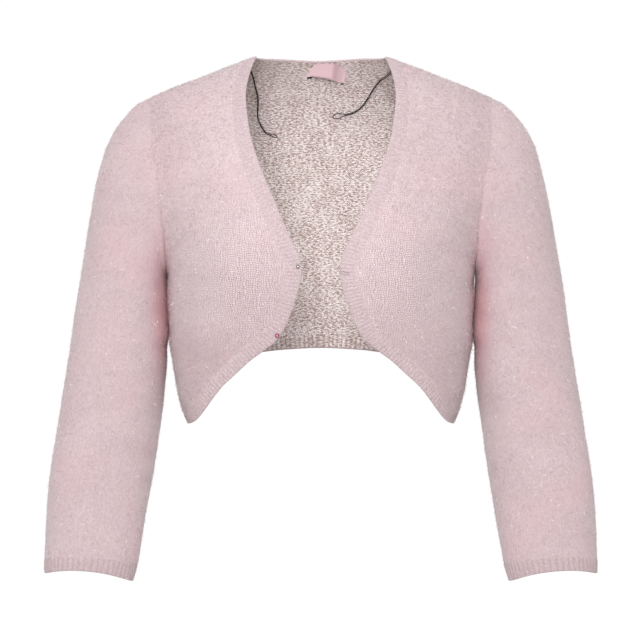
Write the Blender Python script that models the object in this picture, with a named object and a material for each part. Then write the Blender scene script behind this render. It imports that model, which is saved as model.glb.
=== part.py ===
"""A cropped open cardigan in fluffy knit with three-quarter sleeves, filled out as it is worn.

Sizes are in millimetres and are turned into metres when a mesh is made. The origin is midway between the
neck ends of the two shoulder seams. X runs across, Y from front to back, Z up. The garment's left is at +X.

One torso surface carries the fronts, the back and their ribbed bands, and one loft carries each sleeve
and its cuff. A point of the torso is given by its turn (degrees round the body: 0 at the centre front, 90
at the left side seam, 180 at the centre back) and its drop (how far it is below the line of the shoulders).
"""

from collections import namedtuple

import bmesh
import bpy
import numpy as np

METRES = 0.001
SHARP_ANGLE = 24

WALL = 2.2
SEAM_GAP = 0.3

RIB_RAISE = 0.5
BAND_WIDTH_NECK = 12.0
BAND_WIDTH_FRONT = 16.5
BAND_WIDTH_HEM = 14.0

FRONT_ROWS = 28
FRONT_COLUMNS = 9
BACK_ROWS = 20
SHOULDER_COLUMNS = 5
NECK_COLUMNS = 7
FRONT_ARMHOLE_ROWS = 16
BACK_ARMHOLE_ROWS = 12
FRONT_BAND_RIBS = 3
HEM_BAND_RIBS = 3
NECK_BAND_RIBS = 3
CUFF_RIBS = 2

FRONT_ROUNDNESS = 2.3
BACK_ROUNDNESS = 2.6
SLEEVE_ROUNDNESS = 2.15

SHOULDER_RIDGE_Y = 8.0
NECK_HALF_WIDTH = 64.5
NECK_DEPTH_BACK = 50.0
NECK_STAND = 14.0

FRONT_SHOULDER_DROP = 120.0
FRONT_SHOULDER_CURVE = 1.7
BACK_SHOULDER_DROP = 90.0
BACK_SHOULDER_CURVE = 2.0

FULLNESS = 16.0
FULLNESS_X = 76.0
FULLNESS_Z = -222.0
FULLNESS_SPREAD_X = 38.0
FULLNESS_SPREAD_Z = 46.0

ARMPIT_DROP = 181.0
CUFF_ARCH = 8.0

Ridge = namedtuple("Ridge", "x z")
SHOULDER_LINE = [
    Ridge(0, 2.0),
    Ridge(39, 3.0),
    Ridge(64, 1.0),
    Ridge(88, -7.0),
    Ridge(118.5, -19.0),
    Ridge(150, -31.0),
    Ridge(171, -40.0),
    Ridge(195, -50.0),
]

Girth = namedtuple("Girth", "drop half_width front back")
GIRTHS = [
    Girth(0, 192.0, 78, 84),
    Girth(40, 190.5, 84, 90),
    Girth(80, 187.0, 91, 96),
    Girth(113, 177.0, 97, 99),
    Girth(146, 164.5, 101, 100),
    Girth(165, 158.4, 102.5, 99.4),
    Girth(181, 154.5, 103, 98),
    Girth(199, 153.2, 102.4, 96),
    Girth(217, 152.6, 101, 94),
    Girth(251, 151.6, 95, 89),
    Girth(276.5, 147.6, 89, 85),
    Girth(302, 143.6, 84, 81),
    Girth(328, 138.3, 81, 78),
    Girth(345, 134.5, 79, 76),
]

ArmholeSeam = namedtuple("ArmholeSeam", "drop x")
ARMHOLE_SEAM = [
    ArmholeSeam(0, 171.0),
    ArmholeSeam(55, 166.8),
    ArmholeSeam(80, 161.8),
    ArmholeSeam(113, 157.4),
    ArmholeSeam(146, 155.0),
    ArmholeSeam(181, 154.5),
]

EdgePoint = namedtuple("EdgePoint", "x z")
FRONT_EDGE = [
    EdgePoint(70.7, -18.0),
    EdgePoint(73.9, -41.0),
    EdgePoint(70.7, -70.0),
    EdgePoint(63.3, -101.0),
    EdgePoint(53.2, -127.5),
    EdgePoint(38.3, -163.0),
    EdgePoint(26.5, -189.0),
    EdgePoint(18.6, -208.0),
    EdgePoint(17.8, -216.0),
    EdgePoint(26.0, -249.5),
    EdgePoint(41.0, -281.0),
    EdgePoint(71.7, -305.6),
    EdgePoint(97.6, -329.4),
    EdgePoint(116.2, -353.6),
    EdgePoint(130.0, -366.0),
]
BACK_HEM = [
    EdgePoint(0, -292.0),
    EdgePoint(50, -295.0),
    EdgePoint(76, -300.5),
    EdgePoint(100, -314.0),
    EdgePoint(119, -336.0),
    EdgePoint(130.5, -357.0),
]
SIDE_TIP_DROP = 342.0

Section = namedtuple("Section", "outer_x outer_z inner_x inner_z half_depth centre_y")
SLEEVE_SECTIONS = [
    Section(184.0, -47.0, 157.4, -217.2, 55.0, 0.0),
    Section(196.0, -59.0, 157.6, -221.0, 54.5, 0.5),
    Section(206.0, -73.0, 157.3, -226.0, 53.5, 1.0),
    Section(213.5, -88.0, 156.9, -232.0, 52.5, 1.5),
    Section(219.0, -106.0, 156.4, -240.0, 51.0, 2.0),
    Section(224.3, -128.0, 155.8, -251.0, 49.5, 2.5),
    Section(229.5, -155.0, 155.0, -266.0, 48.0, 3.0),
    Section(235.0, -187.0, 154.1, -285.0, 46.5, 3.5),
    Section(241.0, -223.0, 153.9, -308.0, 45.0, 3.5),
    Section(247.0, -264.0, 157.0, -340.0, 43.0, 2.5),
    Section(253.5, -309.0, 161.5, -375.0, 40.5, 0.0),
    Section(261.0, -358.0, 167.0, -414.0, 38.0, -4.0),
    Section(268.8, -409.0, 173.5, -453.0, 35.5, -8.5),
    Section(273.2, -462.0, 178.8, -485.0, 33.0, -12.5),
    Section(274.6, -500.0, 182.2, -505.5, 31.5, -14.5),
    Section(274.3, -514.5, 186.8, -522.5, 30.5, -15.0),
]
SETTLED_SECTION = 7

CORD_THICK = 0.8
CORD_STRANDS = 1.3
CORD_POINTS = 17
EYE_POINTS = 6
CORD_CLEAR = 0.7
CORD_CLEAR_RIDGE = 1.6
CORD_CLEAR_FADE = 15.0
Hanger = namedtuple("Hanger", "name side eye_length eye_width route")
HANGERS = [
    Hanger(
        "hanger_loop_left",
        1,
        10.0,
        5.5,
        [(76, -5), (73, -13), (62, -21), (52.3, -32), (41.2, -46.5), (33.5, -50), (22.4, -52.2)],
    ),
    Hanger(
        "hanger_loop_right",
        -1,
        5.0,
        2.8,
        [(75, -4.5), (71, -9.5), (68.4, -19), (65.2, -35), (65.4, -49), (61.2, -63.5), (52.5, -69.5)],
    ),
]

LABEL_WIDTH = 39.0
LABEL_HEIGHT = 13.0
LABEL_THICK = 1.0
LABEL_BULGE = 6.0
LABEL_X = 6.8
LABEL_Z = -9.5
LABEL_SLANT = 4.0

Bead = namedtuple("Bead", "name x z radius colour roughness")
BEADS = [
    Bead("bead_button_upper", 22.3, -211.5, 1.7, (0.42, 0.38, 0.38), 0.15),
    Bead("bead_button_lower", 42.2, -276.0, 2.1, (0.45, 0.06, 0.16), 0.2),
]

PINK_KNIT = ("pink_knit", (0.70, 0.54, 0.565), 0.95)
PINK_RIB = ("pink_rib", (0.73, 0.58, 0.595), 0.95)
PINK_SATIN = ("pink_satin", (0.80, 0.60, 0.61), 0.35)
BLACK_CORD = ("black_cord", (0.012, 0.010, 0.011), 0.6)


def column(table, name):
    return np.array([getattr(row, name) for row in table], float)


def smooth(xs, ys, at):
    """A monotone cubic through the points (xs, ys), read at the places given."""
    xs, ys = np.asarray(xs, float), np.asarray(ys, float)
    steps = np.diff(xs)
    slopes = np.diff(ys) / steps
    tangents = np.empty_like(ys)
    tangents[0], tangents[-1] = slopes[0], slopes[-1]
    for i in range(1, len(xs) - 1):
        if slopes[i - 1] * slopes[i] <= 0:
            tangents[i] = 0
        else:
            before, after = 2 * steps[i] + steps[i - 1], steps[i] + 2 * steps[i - 1]
            tangents[i] = (before + after) / (before / slopes[i - 1] + after / slopes[i])
    at = np.clip(at, xs[0], xs[-1])
    cell = np.clip(np.searchsorted(xs, at, side="right") - 1, 0, len(steps) - 1)
    step = steps[cell]
    t = (at - xs[cell]) / step
    rise = t * t * (3 - 2 * t)
    return (
        ys[cell] * (1 - rise)
        + ys[cell + 1] * rise
        + tangents[cell] * step * t * (1 - t) ** 2
        + tangents[cell + 1] * step * t * t * (t - 1)
    )


def unit(vectors):
    return vectors / np.linalg.norm(vectors, axis=-1, keepdims=True)


def shoulder_z(x):
    return smooth(column(SHOULDER_LINE, "x"), column(SHOULDER_LINE, "z"), np.abs(x))


def girth(drop, name):
    return smooth(column(GIRTHS, "drop"), column(GIRTHS, name), drop)


def signed_power(value, power):
    return np.sign(value) * np.abs(value) ** power


def roll(drop, reach, curve):
    """How far the cloth has rolled over the shoulder, from 0 on the ridge to 1 where it hangs upright."""
    left = np.clip(1 - np.maximum(drop, 0) / reach, 0, 1)
    return (1 - left**curve) ** (1 / curve)


def torso(turn, drop):
    """The outer surface of the fronts and the back."""
    turn, drop = np.broadcast_arrays(np.asarray(turn, float), np.asarray(drop, float))
    sine, cosine = np.sin(np.radians(turn)), np.cos(np.radians(turn))
    at_front = cosine > 1e-9
    power = np.where(at_front, 2 / FRONT_ROUNDNESS, 2 / BACK_ROUNDNESS)
    depth = np.where(at_front, girth(drop, "front"), girth(drop, "back"))
    x = girth(drop, "half_width") * signed_power(sine, power)
    full_y = -depth * signed_power(np.where(np.abs(cosine) < 1e-9, 0, cosine), power)
    z = shoulder_z(x) - drop

    in_neck = np.clip(1 - (x / NECK_HALF_WIDTH) ** 2, 0, 1)
    top_y = SHOULDER_RIDGE_Y + NECK_DEPTH_BACK * np.sqrt(in_neck)
    stand = NECK_STAND * in_neck
    start = roll(stand, BACK_SHOULDER_DROP, BACK_SHOULDER_CURVE)
    back_roll = (roll(drop + stand, BACK_SHOULDER_DROP, BACK_SHOULDER_CURVE) - start) / (1 - start)
    front_roll = roll(drop, FRONT_SHOULDER_DROP, FRONT_SHOULDER_CURVE)
    front_y = SHOULDER_RIDGE_Y + (full_y - SHOULDER_RIDGE_Y) * front_roll
    away_x = (np.abs(x) - FULLNESS_X) / FULLNESS_SPREAD_X
    away_z = (z - FULLNESS_Z) / FULLNESS_SPREAD_Z
    at_side = np.clip(np.abs(cosine) / 0.35, 0, 1)
    front_y = front_y - FULLNESS * np.exp(-(away_x**2 + away_z**2) / 2) * at_side
    back_y = top_y + (full_y - top_y) * back_roll
    return np.stack([x, np.where(at_front, front_y, back_y), z], axis=-1)


def torso_normal(turn, drop):
    """The unit normal that points out of the garment."""
    turn, drop = np.broadcast_arrays(np.asarray(turn, float), np.asarray(drop, float))
    at_front = np.abs(turn) <= 90
    low_turn = np.where(at_front, -90.0, 90.0)
    high_turn = np.where(at_front, 90.0, 270.0)
    after, before = np.minimum(turn + 0.2, high_turn), np.maximum(turn - 0.2, low_turn)
    along = torso(after, drop) - torso(before, drop)
    down = torso(turn, drop + 0.05) - torso(turn, np.maximum(drop - 0.05, 0))
    return unit(np.cross(down, along))


def locate(x, z, back=False):
    """The (turn, drop) of a point of the front or the back, from its x (0 or more) and its z."""
    drop = shoulder_z(x) - z
    roundness = BACK_ROUNDNESS if back else FRONT_ROUNDNESS
    part = np.clip(x / girth(drop, "half_width"), 0, 1) ** (roundness / 2)
    turn = np.degrees(np.arcsin(part))
    return np.stack([180 - turn if back else turn, drop], axis=-1)


def evenly(places, count):
    """Reads count + 1 evenly spaced places from a curve on the torso that is given by many places."""
    points = torso(places[:, 0], places[:, 1])
    run = np.concatenate([[0], np.cumsum(np.linalg.norm(np.diff(points, axis=0), axis=1))])
    at = np.linspace(0, run[-1], count + 1)
    return np.stack([np.interp(at, run, places[:, 0]), np.interp(at, run, places[:, 1])], axis=-1)


def fine_curve(places, samples=600):
    """A smooth curve on the torso through a few (turn, drop) places."""
    points = torso(places[:, 0], places[:, 1])
    run = np.concatenate([[0], np.cumsum(np.linalg.norm(np.diff(points, axis=0), axis=1))])
    at = np.linspace(0, run[-1], samples)
    return np.stack([smooth(run, places[:, 0], at), smooth(run, places[:, 1], at)], axis=-1)


def nearest_place(points, guess):
    """The places of the torso that lie nearest to some points, found by stepping from a guess."""
    places = guess.copy()
    at_front = np.cos(np.radians(guess[:, 0])) > 1e-9
    low = np.stack([np.where(at_front, -90.0, 90.0), np.full(len(guess), 0.05)], axis=-1)
    high = np.stack([np.where(at_front, 90.0, 270.0), np.full(len(guess), 345.0)], axis=-1)
    for _ in range(40):
        here = torso(places[:, 0], places[:, 1])
        miss = points - here
        turn_step = torso(places[:, 0] + 0.01, places[:, 1]) - here
        drop_step = torso(places[:, 0], places[:, 1] + 0.01) - here
        frame = np.stack([turn_step, drop_step], axis=-1)
        square = frame.swapaxes(1, 2) @ frame
        step = 0.01 * np.linalg.solve(square, frame.swapaxes(1, 2) @ miss[..., None])[..., 0]
        places = np.clip(places + np.clip(step, -2, 2), low, high)
    return places


def inset(places, width):
    """The places that lie this far inside an edge, measured square to it along the cloth."""
    points = torso(places[:, 0], places[:, 1])
    travel = np.gradient(points, axis=0)
    for _ in range(2):
        travel[1:-1] = (travel[:-2] + 2 * travel[1:-1] + travel[2:]) / 4
    inward = unit(np.cross(torso_normal(places[:, 0], places[:, 1]), travel))
    return nearest_place(points + inward * np.asarray(width)[..., None], places + [0.0, 1.0])


def front_edge():
    """The free edge of the left front, from the shoulder seam to the tip at the side seam."""
    table = locate(column(FRONT_EDGE, "x"), column(FRONT_EDGE, "z"))
    top = locate(np.array([NECK_HALF_WIDTH]), shoulder_z(np.array([NECK_HALF_WIDTH])))
    places = np.concatenate([top, table, [[90.0, SIDE_TIP_DROP]]])
    return evenly(fine_curve(places), FRONT_ROWS)


def front_band_seam(edge):
    """Where the front band is sewn to the front."""
    ends = [0, 0.12, 0.35, 0.6, 0.8, 1]
    widths = [BAND_WIDTH_NECK, BAND_WIDTH_NECK + 1.5] + [BAND_WIDTH_FRONT] * 2 + [BAND_WIDTH_HEM] * 2
    seam = inset(edge, smooth(ends, widths, np.linspace(0, 1, len(edge))))
    shoulder_x = np.array([NECK_HALF_WIDTH + BAND_WIDTH_NECK])
    seam[0] = locate(shoulder_x, shoulder_z(shoulder_x))[0]
    seam[-1] = (90.0, SIDE_TIP_DROP - BAND_WIDTH_HEM)
    return seam


def armhole(rows, back=False):
    """The armhole seam, from the shoulder down to the armpit."""
    drop = ARMPIT_DROP * np.linspace(0, 1, 600) ** 2
    x = smooth(column(ARMHOLE_SEAM, "drop"), column(ARMHOLE_SEAM, "x"), drop)
    places = locate(x, shoulder_z(x) - drop, back)
    places[-1] = (90.0, ARMPIT_DROP)
    return evenly(places, rows)


def side_seam(rows):
    drops = np.linspace(ARMPIT_DROP, SIDE_TIP_DROP - BAND_WIDTH_HEM, rows + 1)
    return np.stack([np.full(rows + 1, 90.0), drops], axis=-1)


def neck_edge():
    """The free edge of the back neck, from the left shoulder seam to the right one."""
    angle = np.radians(np.linspace(90, -90, 2 * NECK_COLUMNS + 1))
    x = NECK_HALF_WIDTH * np.sin(angle)
    return back_places(x, shoulder_z(x))


def back_places(x, z):
    places = locate(np.abs(x), z, back=True)
    places[:, 0] = np.where(x < 0, 360 - places[:, 0], places[:, 0])
    return places


def neck_band_seam(edge):
    """Where the back neck band is sewn on. It starts and ends in line with the seams of the front bands."""
    places = inset(edge[::-1], np.full(len(edge), BAND_WIDTH_NECK))[::-1]
    shoulder_x = NECK_HALF_WIDTH + BAND_WIDTH_NECK
    ends = np.array([shoulder_x, -shoulder_x])
    places[[0, -1]] = back_places(ends, shoulder_z(ends))
    return places


def back_hem():
    """The free edge of the back, from the left side seam to the right one."""
    half = locate(column(BACK_HEM, "x"), column(BACK_HEM, "z"), back=True)
    half = np.concatenate([half, [[90.0, SIDE_TIP_DROP]]])[::-1]
    half = evenly(fine_curve(half), SHOULDER_COLUMNS + NECK_COLUMNS)
    return mirrored_places(half)


def mirrored_places(half):
    """A curve from the left side to the centre back, carried on to the right side."""
    other = half[-2::-1].copy()
    other[:, 0] = 360 - other[:, 0]
    return np.concatenate([half, other])


def hem_band_seam(edge):
    half = inset(edge, np.full(len(edge), BAND_WIDTH_HEM))[: len(edge) // 2 + 1]
    half[0] = (90.0, SIDE_TIP_DROP - BAND_WIDTH_HEM)
    half[-1, 0] = 180.0
    return mirrored_places(half)


def new_material(name, colour, roughness):
    material = bpy.data.materials.get(name)
    if material is None:
        material = bpy.data.materials.new(name)
        material.use_nodes = True
        surface = material.node_tree.nodes["Principled BSDF"]
        surface.inputs["Base Color"].default_value = (*colour, 1)
        surface.inputs["Roughness"].default_value = roughness
        surface.inputs["Metallic"].default_value = 0
    return material


def add_object(name, mesh, material):
    mesh.materials.append(new_material(*material))
    obj = bpy.data.objects.new(name, mesh)
    bpy.context.scene.collection.objects.link(obj)
    return obj


def add_shell(name, outside, inside, material, tube=False):
    """Makes a closed wall of cloth between two grids of points; a tube closes round its columns."""
    rows, columns = outside.shape[:2]
    if outside.shape != inside.shape:
        raise ValueError(name)
    points = np.concatenate([outside.reshape(-1, 3), inside.reshape(-1, 3)]) * METRES
    number = np.arange(rows * columns).reshape(rows, columns)
    if tube:
        number = np.concatenate([number, number[:, :1]], axis=1)
    faces = []
    for r in range(number.shape[0] - 1):
        for c in range(number.shape[1] - 1):
            quad = (number[r, c], number[r, c + 1], number[r + 1, c + 1], number[r + 1, c])
            faces.append(quad)
            faces.append(tuple(corner + rows * columns for corner in reversed(quad)))
    borders = [number[0], number[-1, ::-1]]
    if not tube:
        borders += [number[::-1, 0], number[:, -1]]
    for border in borders:
        for a, b in zip(border[:-1], border[1:]):
            faces.append((b, a, a + rows * columns, b + rows * columns))

    mesh = bpy.data.meshes.new(name)
    made = bmesh.new()
    corners = [made.verts.new(point) for point in points]
    for face in faces:
        made.faces.new([corners[i] for i in face])
    bmesh.ops.remove_doubles(made, verts=made.verts, dist=1e-6)
    if made.calc_volume(signed=True) < 0:
        bmesh.ops.reverse_faces(made, faces=made.faces)
    made.to_mesh(mesh)
    made.free()
    mesh.shade_smooth()
    mesh.set_sharp_from_angle(angle=np.radians(SHARP_ANGLE))
    return add_object(name, mesh, material)


def mirrored(points):
    return points * np.array([-1.0, 1.0, 1.0])


def add_pair(stem, outside, inside, material, tube=False):
    """Makes the garment's left piece as given, and its right one as a mirror image."""
    add_shell(stem + "_left", outside, inside, material, tube)
    add_shell(stem + "_right", mirrored(outside), mirrored(inside), material, tube)


def part_seams(points, first=None, last=None):
    """Moves a strip's or panel's end rows half a seam's gap forward (-1) or back (1) from the seam."""
    for row, way in ((0, first), (-1, last)):
        if way is not None:
            points[row, ..., 1] += way * SEAM_GAP / 2
    return points


def ribbed(edge, seam, edge_normal, seam_normal, ribs, tube=False):
    """The wall of a ribbed band between two curves: ribs lie square to its edge, over a plain inside."""
    if tube:
        edge, seam = np.concatenate([edge, edge[:1]]), np.concatenate([seam, seam[:1]])
        edge_normal = np.concatenate([edge_normal, edge_normal[:1]])
        seam_normal = np.concatenate([seam_normal, seam_normal[:1]])
    stations = np.arange(len(edge))
    at = np.linspace(0, len(edge) - 1, (len(edge) - 1) * ribs * 2 + 1)

    def between(line):
        return np.stack([np.interp(at, stations, line[:, axis]) for axis in range(3)], axis=-1)

    inside = np.stack([between(edge - WALL * edge_normal), between(seam - WALL * seam_normal)], axis=1)
    crest = RIB_RAISE * (np.arange(len(at)) % 2)[:, None]
    raised_edge = between(edge) + crest * between(edge_normal)
    raised_seam = between(seam) + crest * between(seam_normal)
    outside = np.stack([raised_edge, raised_seam], axis=1)
    if tube:
        return outside[:-1].swapaxes(0, 1), inside[:-1].swapaxes(0, 1)
    return outside, inside


def place_curve(places):
    return torso(places[:, 0], places[:, 1]), torso_normal(places[:, 0], places[:, 1])


def beyond_seam(seam_points, edge_points):
    """The points of a panel's border that lie one seam's gap past a band's seam."""
    return seam_points + SEAM_GAP * unit(seam_points - edge_points)


def make_fronts():
    edge = front_edge()
    seam = front_band_seam(edge)
    edge_points, edge_normal = place_curve(edge)
    seam_points, seam_normal = place_curve(seam)
    outside, inside = ribbed(edge_points, seam_points, edge_normal, seam_normal, FRONT_BAND_RIBS)
    for wall in (outside, inside):
        part_seams(wall, first=-1, last=-1)
    add_pair("front_band", outside, inside, PINK_RIB)

    outer = np.concatenate([armhole(FRONT_ARMHOLE_ROWS), side_seam(FRONT_ROWS - FRONT_ARMHOLE_ROWS)[1:]])
    across = np.linspace(0, 1, FRONT_COLUMNS + 1)[None, :, None]
    places = seam[:, None, :] * (1 - across) + outer[:, None, :] * across
    outside = torso(places[..., 0], places[..., 1])
    normal = torso_normal(places[..., 0], places[..., 1])
    outside[:, 0] = beyond_seam(seam_points, edge_points)
    outside[-1] = outside[-1, 0]
    inside = outside - WALL * normal
    for wall in (outside, inside):
        part_seams(wall, first=-1)
        wall[FRONT_ARMHOLE_ROWS:-1, -1, 1] -= SEAM_GAP / 2
        wall[-1, :, 1] -= SEAM_GAP / 2
    add_pair("front", outside, inside, PINK_KNIT)


def coons(top, bottom, left, right):
    """Fills four border curves of (turn, drop) places with a grid of places."""
    down = np.linspace(0, 1, len(left))[:, None, None]
    across = np.linspace(0, 1, len(top))[None, :, None]
    ruled = top[None] * (1 - down) + bottom[None] * down
    ruled = ruled + left[:, None] * (1 - across) + right[:, None] * across
    corners = (top[0] * (1 - across) + top[-1] * across) * (1 - down)
    corners = corners + (bottom[0] * (1 - across) + bottom[-1] * across) * down
    return ruled - corners


def make_back():
    neck = neck_edge()
    neck_seam = neck_band_seam(neck)
    neck_points, neck_normal = place_curve(neck)
    neck_seam_points, neck_seam_normal = place_curve(neck_seam)
    outside, inside = ribbed(neck_points, neck_seam_points, neck_normal, neck_seam_normal, NECK_BAND_RIBS)
    for wall in (outside, inside):
        part_seams(wall, first=1, last=1)
    add_shell("back_neck_band", outside, inside, PINK_RIB)

    hem = back_hem()
    hem_seam = hem_band_seam(hem)
    hem_points, hem_normal = place_curve(hem)
    hem_seam_points, hem_seam_normal = place_curve(hem_seam)
    outside, inside = ribbed(hem_points, hem_seam_points, hem_normal, hem_seam_normal, HEM_BAND_RIBS)
    for wall in (outside, inside):
        part_seams(wall, first=1, last=1)
    add_shell("back_hem_band", outside, inside, PINK_RIB)

    left = np.concatenate(
        [armhole(BACK_ARMHOLE_ROWS, back=True), side_seam(BACK_ROWS - BACK_ARMHOLE_ROWS)[1:]]
    )
    right = np.stack([360 - left[:, 0], left[:, 1]], axis=-1)
    to_neck = np.linspace(left[0], neck_seam[0], SHOULDER_COLUMNS + 1)[:-1]
    top = mirrored_places(np.concatenate([to_neck, neck_seam[: NECK_COLUMNS + 1]]))
    places = coons(top, hem_seam, left, right)
    outside = torso(places[..., 0], places[..., 1])
    normal = torso_normal(places[..., 0], places[..., 1])
    in_neck = slice(SHOULDER_COLUMNS, -SHOULDER_COLUMNS)
    outside[0, in_neck] = beyond_seam(neck_seam_points, neck_points)
    outside[-1] = beyond_seam(hem_seam_points, hem_points)
    inside = outside - WALL * normal
    for wall in (outside, inside):
        wall[0, : SHOULDER_COLUMNS + 1, 1] += SEAM_GAP / 2
        wall[0, -SHOULDER_COLUMNS - 1 :, 1] += SEAM_GAP / 2
        wall[BACK_ARMHOLE_ROWS:, [0, -1], 1] += SEAM_GAP / 2
    add_shell("back", outside, inside, PINK_KNIT)


def armhole_ring():
    """The left armhole, down the front and up the back: points, normals, ways across the seam, drops."""
    front = armhole(FRONT_ARMHOLE_ROWS)
    back = armhole(BACK_ARMHOLE_ROWS, back=True)[-2:0:-1]
    places = np.concatenate([front, back])
    points, normal = place_curve(places)
    travel = np.roll(points, -1, axis=0) - np.roll(points, 1, axis=0)
    travel -= normal * np.sum(travel * normal, axis=1, keepdims=True)
    across = unit(np.cross(normal, travel))
    into_hole = np.where(np.arange(len(places)) <= FRONT_ARMHOLE_ROWS, 1.0, -1.0)
    hint = torso(places[:, 0] + into_hole, np.maximum(places[:, 1] - 1, 0)) - points
    across *= np.sign(np.sum(across * hint, axis=1, keepdims=True))
    return points, normal, across, places[:, 1]


def sleeve_grid():
    """Rings of points from the armhole to the cuff's edge. Each runs down the front and up the back."""
    ring, body_normal, across, drop = armhole_ring()
    crease = np.clip((drop - 130) / 51, 0, 1)[:, None]
    start = ring + SEAM_GAP * across + 0.4 * crease * body_normal

    outer, inner = start[0], start[FRONT_ARMHOLE_ROWS]
    centre = (outer + inner) / 2
    centre[1] = (start[:, 1].max() + start[:, 1].min()) / 2
    axis = unit((outer - inner) * [1, 0, 1])
    out = np.array([axis[2], 0, -axis[0]])
    half_width = np.linalg.norm((outer - inner)[[0, 2]]) / 2
    half_depth = (start[:, 1].max() - start[:, 1].min()) / 2
    shape_high = (start - centre) @ axis / half_width
    shape = np.stack([shape_high, (start[:, 1] - centre[1]) / half_depth], axis=-1)
    bow = (start - centre) @ out

    front_angles = np.linspace(0, 180, FRONT_ARMHOLE_ROWS + 1)
    back_angles = np.linspace(180, 360, BACK_ARMHOLE_ROWS + 1)[1:-1]
    angle = np.radians(np.concatenate([front_angles, back_angles]))
    power = 2 / SLEEVE_ROUNDNESS
    settled = np.stack([signed_power(np.cos(angle), power), -signed_power(np.sin(angle), power)], axis=-1)

    rings = [start]
    for number, section in enumerate(SLEEVE_SECTIONS, start=1):
        outer = np.array([section.outer_x, 0, section.outer_z])
        inner = np.array([section.inner_x, 0, section.inner_z])
        axis = unit(outer - inner)
        out = np.array([axis[2], 0, -axis[0]])
        t = min(number / SETTLED_SECTION, 1)
        blend = t * t * (3 - 2 * t)
        form = shape * (1 - blend) + settled * blend
        middle = (outer + inner) / 2 + [0, section.centre_y, 0]
        points = middle + form[:, :1] * np.linalg.norm(outer - inner) / 2 * axis
        points = points + form[:, 1:] * section.half_depth * np.array([0, 1, 0])
        points = points + (bow * (1 - blend) ** 2)[:, None] * out
        arch = CUFF_ARCH * max(0, number - len(SLEEVE_SECTIONS) + 4) / 4
        points[:, 2] += arch * form[:, 1] ** 2
        rings.append(points)
    return np.array(rings), body_normal, across


def make_sleeves():
    rings, body_normal, across = sleeve_grid()
    along = np.gradient(rings, axis=0)
    around = np.roll(rings, -1, axis=1) - np.roll(rings, 1, axis=1)
    normal = unit(np.cross(along, around))
    outwards = rings - rings.mean(axis=1, keepdims=True)
    normal *= np.sign(np.sum(normal * outwards, axis=-1)[-1].mean())

    # At the armhole no wall leans into its neighbour across the seam.
    inward = -normal[0]
    lean = np.minimum(np.sum(inward * across, axis=1, keepdims=True), 0)
    inward = unit(inward - lean * across)
    inside = rings - WALL * normal
    inside[0] = rings[0] + WALL * inward
    add_pair("sleeve", rings[:-1], inside[:-1], PINK_KNIT, tube=True)

    seam, edge = rings[-2], rings[-1]
    top = seam + SEAM_GAP * unit(edge - seam)
    outside, inside = ribbed(edge, top, normal[-1], normal[-2], CUFF_RIBS, tube=True)
    add_pair("cuff", outside, inside, PINK_RIB, tube=True)


def make_label():
    """A short satin tape inside the back neck, sewn down at both ends and standing off between them."""
    across = np.linspace(-1, 1, 13)
    down = np.linspace(0, 1, 4)
    x = LABEL_X + across[None, :] * LABEL_WIDTH / 2 + 0 * down[:, None]
    z = LABEL_Z + LABEL_HEIGHT / 2 - down[:, None] * LABEL_HEIGHT - LABEL_SLANT * across[None, :] / 2
    z = z + 2.0 * (1 - across[None, :] ** 2)
    places = back_places(x.ravel(), z.ravel())
    base, normal = place_curve(places)
    seat = WALL + SEAM_GAP + LABEL_BULGE * (1 - np.tile(across, len(down)) ** 2)
    outside = (base - normal * (seat + LABEL_THICK)[:, None]).reshape(len(down), len(across), 3)
    inside = (base - normal * seat[:, None]).reshape(len(down), len(across), 3)
    add_shell("neck_label", outside, inside, PINK_SATIN)


def make_hanger(hanger):
    """A thin cord from the shoulder seam, which runs down, round a small eye and back up beside itself."""
    route = np.array(hanger.route, float)
    run = np.concatenate([[0], np.cumsum(np.linalg.norm(np.diff(route, axis=0), axis=1))])
    at = np.linspace(0, run[-1], CORD_POINTS)
    line = np.stack([smooth(run, route[:, 0], at), smooth(run, route[:, 1], at)], axis=-1)
    travel = unit(np.gradient(line, axis=0))
    beside = np.stack([travel[:, 1], -travel[:, 0]], axis=-1) * CORD_STRANDS / 2
    turn = np.radians(np.linspace(150, -150, EYE_POINTS))
    ahead = hanger.eye_length / 2 * (1 + np.cos(turn))[:, None] * travel[-1]
    eye = line[-1] + ahead + (hanger.eye_width / 2 * np.sin(turn))[:, None] * unit(beside[-1])
    loop = np.concatenate([(line + beside)[:-1], eye, (line - beside)[-2::-1]])
    places = back_places(hanger.side * loop[:, 0], loop[:, 1])
    base, normal = place_curve(places)
    clear = CORD_CLEAR + CORD_CLEAR_RIDGE * np.exp(-places[:, 1] / CORD_CLEAR_FADE)
    points = (base - normal * (WALL + clear + CORD_THICK / 2)[:, None]) * METRES

    curve = bpy.data.curves.new(hanger.name, "CURVE")
    curve.dimensions = "3D"
    curve.bevel_depth = CORD_THICK / 2 * METRES
    curve.bevel_resolution = 2
    curve.use_fill_caps = True
    spline = curve.splines.new("POLY")
    spline.points.add(len(points) - 1)
    for control, point in zip(spline.points, points):
        control.co = (*point, 1)
    add_object(hanger.name, curve, BLACK_CORD)


def make_bead(bead):
    """A small round button on the right front band, just proud of its ribs."""
    place = locate(np.array([bead.x]), np.array([bead.z]))
    point, normal = (mirrored(value[0]) for value in place_curve(place))
    centre = point + normal * (bead.radius + RIB_RAISE + SEAM_GAP)
    mesh = bpy.data.meshes.new(bead.name)
    made = bmesh.new()
    bmesh.ops.create_icosphere(made, subdivisions=2, radius=bead.radius * METRES)
    made.to_mesh(mesh)
    made.free()
    mesh.shade_smooth()
    obj = add_object(bead.name, mesh, (bead.name, bead.colour, bead.roughness))
    obj.location = centre * METRES


def main():
    for obj in list(bpy.data.objects):
        bpy.data.objects.remove(obj)
    make_fronts()
    make_back()
    make_sleeves()
    make_label()
    for hanger in HANGERS:
        make_hanger(hanger)
    for bead in BEADS:
        make_bead(bead)


main()
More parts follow.
